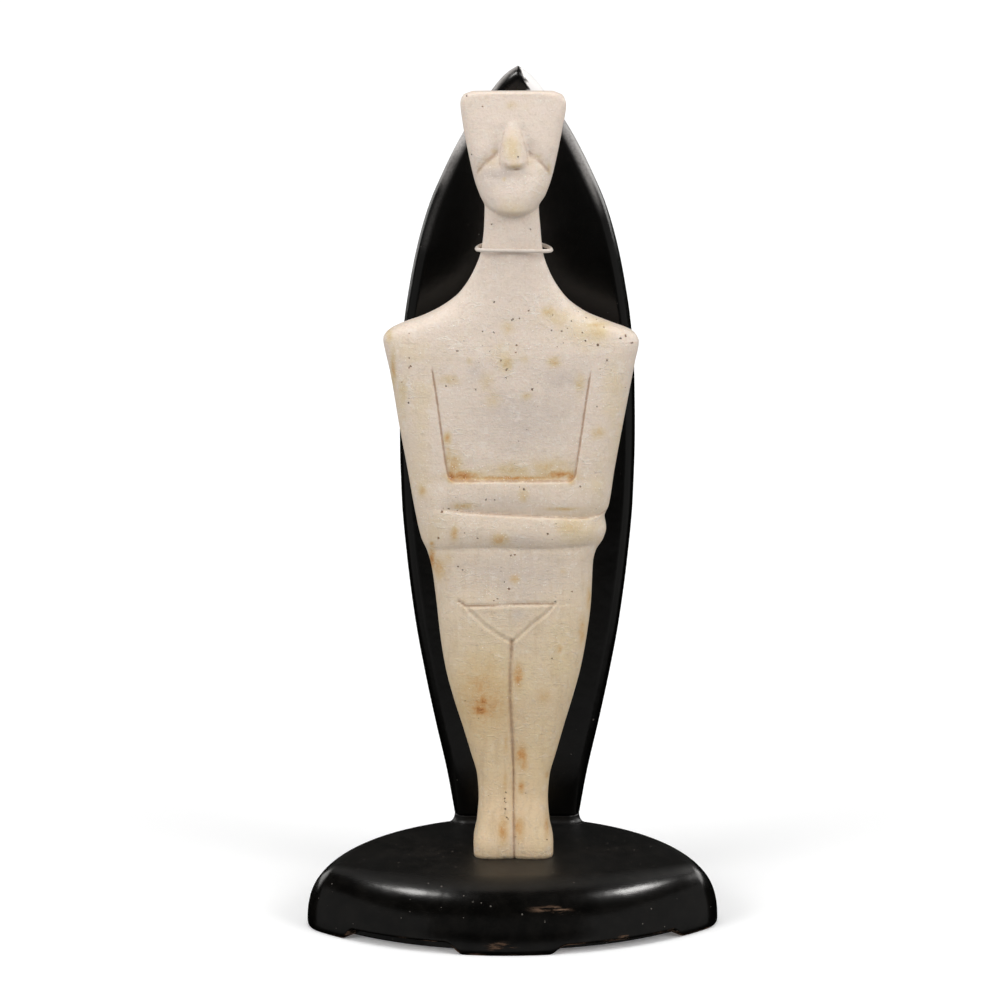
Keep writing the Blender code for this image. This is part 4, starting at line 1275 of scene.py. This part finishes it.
# %% The floor
FLOOR_SIZE = 60.0
floor_mesh = bpy.data.meshes.new("studio_floor")
corners = np.array([(-1, -1, 0), (1, -1, 0), (1, 1, 0), (-1, 1, 0)]) * FLOOR_SIZE / 2
floor_mesh.from_pydata(corners.tolist(), [], [(0, 1, 2, 3)])
floor = bpy.data.objects.new("studio_floor", floor_mesh)
bpy.context.scene.collection.objects.link(floor)
floor_finish = Finish("pale_floor")
floor_finish.feed(Base_Color=(0.95, 0.965, 0.99, 1), Roughness=0.9, Specular_IOR_Level=0.1,
                  Emission_Color=(1, 1, 1, 1), Emission_Strength=0.10)
floor_mesh.materials.append(floor_finish.material)
floor.visible_glossy = False
floor.visible_diffuse = False
floor.visible_shadow = False
print("floor", FLOOR_SIZE, "m wide")

# %% [markdown]
# Marble and lacquer need different lights. Marble shows soft shading, and a sun lamp
# with a wide angle lights it like a very large softbox far away, so there is one at
# the left, one at the right and one above. The lacquer would show them as discs, so
# they are hidden from its reflections. It gets area lamps that only reflections see:
# two boxes whose images are the bright spots on the base, two lamps that draw the rims,
# and dim walls whose images tell black wood from a hole. An area lamp's energy is its
# radiance times pi times its area.

# %% The lights
LAMP_COLOUR = (1.0, 0.985, 0.96)
AIR_STRENGTH = 0.40
FLOODS = (  # name, direction towards the light, strength, width in degrees
    ("left_flood", (-0.72, -0.50, 0.48), 1.25, 34),
    ("right_flood", (0.72, -0.50, 0.48), 1.22, 34),
    ("top_flood", (-0.05, -0.10, 0.99), 1.02, 40),
)
GLINTS = (  # name, direction towards the light, width and height in metres, radiance
    ("left_box", (-0.46, -0.16, 0.87), (0.33, 0.27), 21.0),
    ("right_box", (0.63, -0.16, 0.75), (0.33, 0.26), 27.0),
    ("back_box", (0.0, 0.70, 0.71), (2.60, 0.30), 0.35),
    ("left_rim", (-0.70, 0.66, 0.25), (0.80, 0.70), 1.8),
    ("right_rim", (0.78, 0.45, 0.38), (1.00, 0.60), 4.0),
    ("left_wall", (-0.90, -0.42, -0.05), (1.90, 1.2), 0.215),
    ("right_wall", (0.90, -0.42, -0.05), (1.90, 1.2), 0.255),
    ("front_wall", (0.0, -0.97, 0.22), (2.30, 0.75), 0.08),
    ("front_floor", (0.0, -0.93, -0.37), (2.00, 0.34), 0.26),
)
GLINT_DISTANCE = 1.5
LIGHT_AIM = Vector((0, 0, 0.15))


def hang(name, kind, towards):
    """A lamp that shines on the figurine from a direction."""
    lamp = bpy.data.lights.new(name, kind)
    lamp.color = LAMP_COLOUR
    light = bpy.data.objects.new(name, lamp)
    bpy.context.scene.collection.objects.link(light)
    direction = Vector(towards).normalized()
    light.location = LIGHT_AIM + direction * GLINT_DISTANCE
    light.rotation_mode = "QUATERNION"
    light.rotation_quaternion = direction.to_track_quat("Z", "Y")
    light.visible_camera = False
    return light, lamp


for name, towards, strength, width in FLOODS:
    light, lamp = hang(name, "SUN", towards)
    lamp.energy, lamp.angle = strength, np.radians(width)
    light.visible_glossy = False
for name, towards, size, radiance in GLINTS:
    light, lamp = hang(name, "AREA", towards)
    lamp.shape, (lamp.size, lamp.size_y) = "RECTANGLE", size
    lamp.energy = radiance * np.pi * size[0] * size[1]
    light.visible_diffuse = False

world = bpy.data.worlds.new("studio_air")
bpy.context.scene.world = world
world.use_nodes = True
air = world.node_tree.nodes["Background"].inputs
air["Color"].default_value, air["Strength"].default_value = (*LAMP_COLOUR, 1), AIR_STRENGTH
world.cycles_visibility.glossy = False
bpy.context.scene.view_settings.view_transform = "Standard"
print(len(FLOODS) + len(GLINTS), "lights and a dim world")

# %% [markdown]
# The camera stands 1.2 m in front, a little above the head, with a long lens, as one
# would for a catalogue: the lines of the figure stay straight, and a little of the
# top of the base shows.

# %% The camera
CAMERA_AT = (-0.0047, -1.1927, 0.3896)
CAMERA_AIM = (-0.0047, -0.0030, 0.1568)
FOCAL_LENGTH = 120
FILM_WIDTH = 36
lens = bpy.data.cameras.new("catalogue_camera")
lens.lens, lens.sensor_width = FOCAL_LENGTH, FILM_WIDTH
camera = bpy.data.objects.new("catalogue_camera", lens)
bpy.context.scene.collection.objects.link(camera)
camera.location = CAMERA_AT
sight = Vector(CAMERA_AIM) - Vector(CAMERA_AT)
camera.rotation_mode = "QUATERNION"
camera.rotation_quaternion = sight.to_track_quat("-Z", "Y")
bpy.context.scene.camera = camera
print("camera", round(sight.length, 3), "m from the figurine")
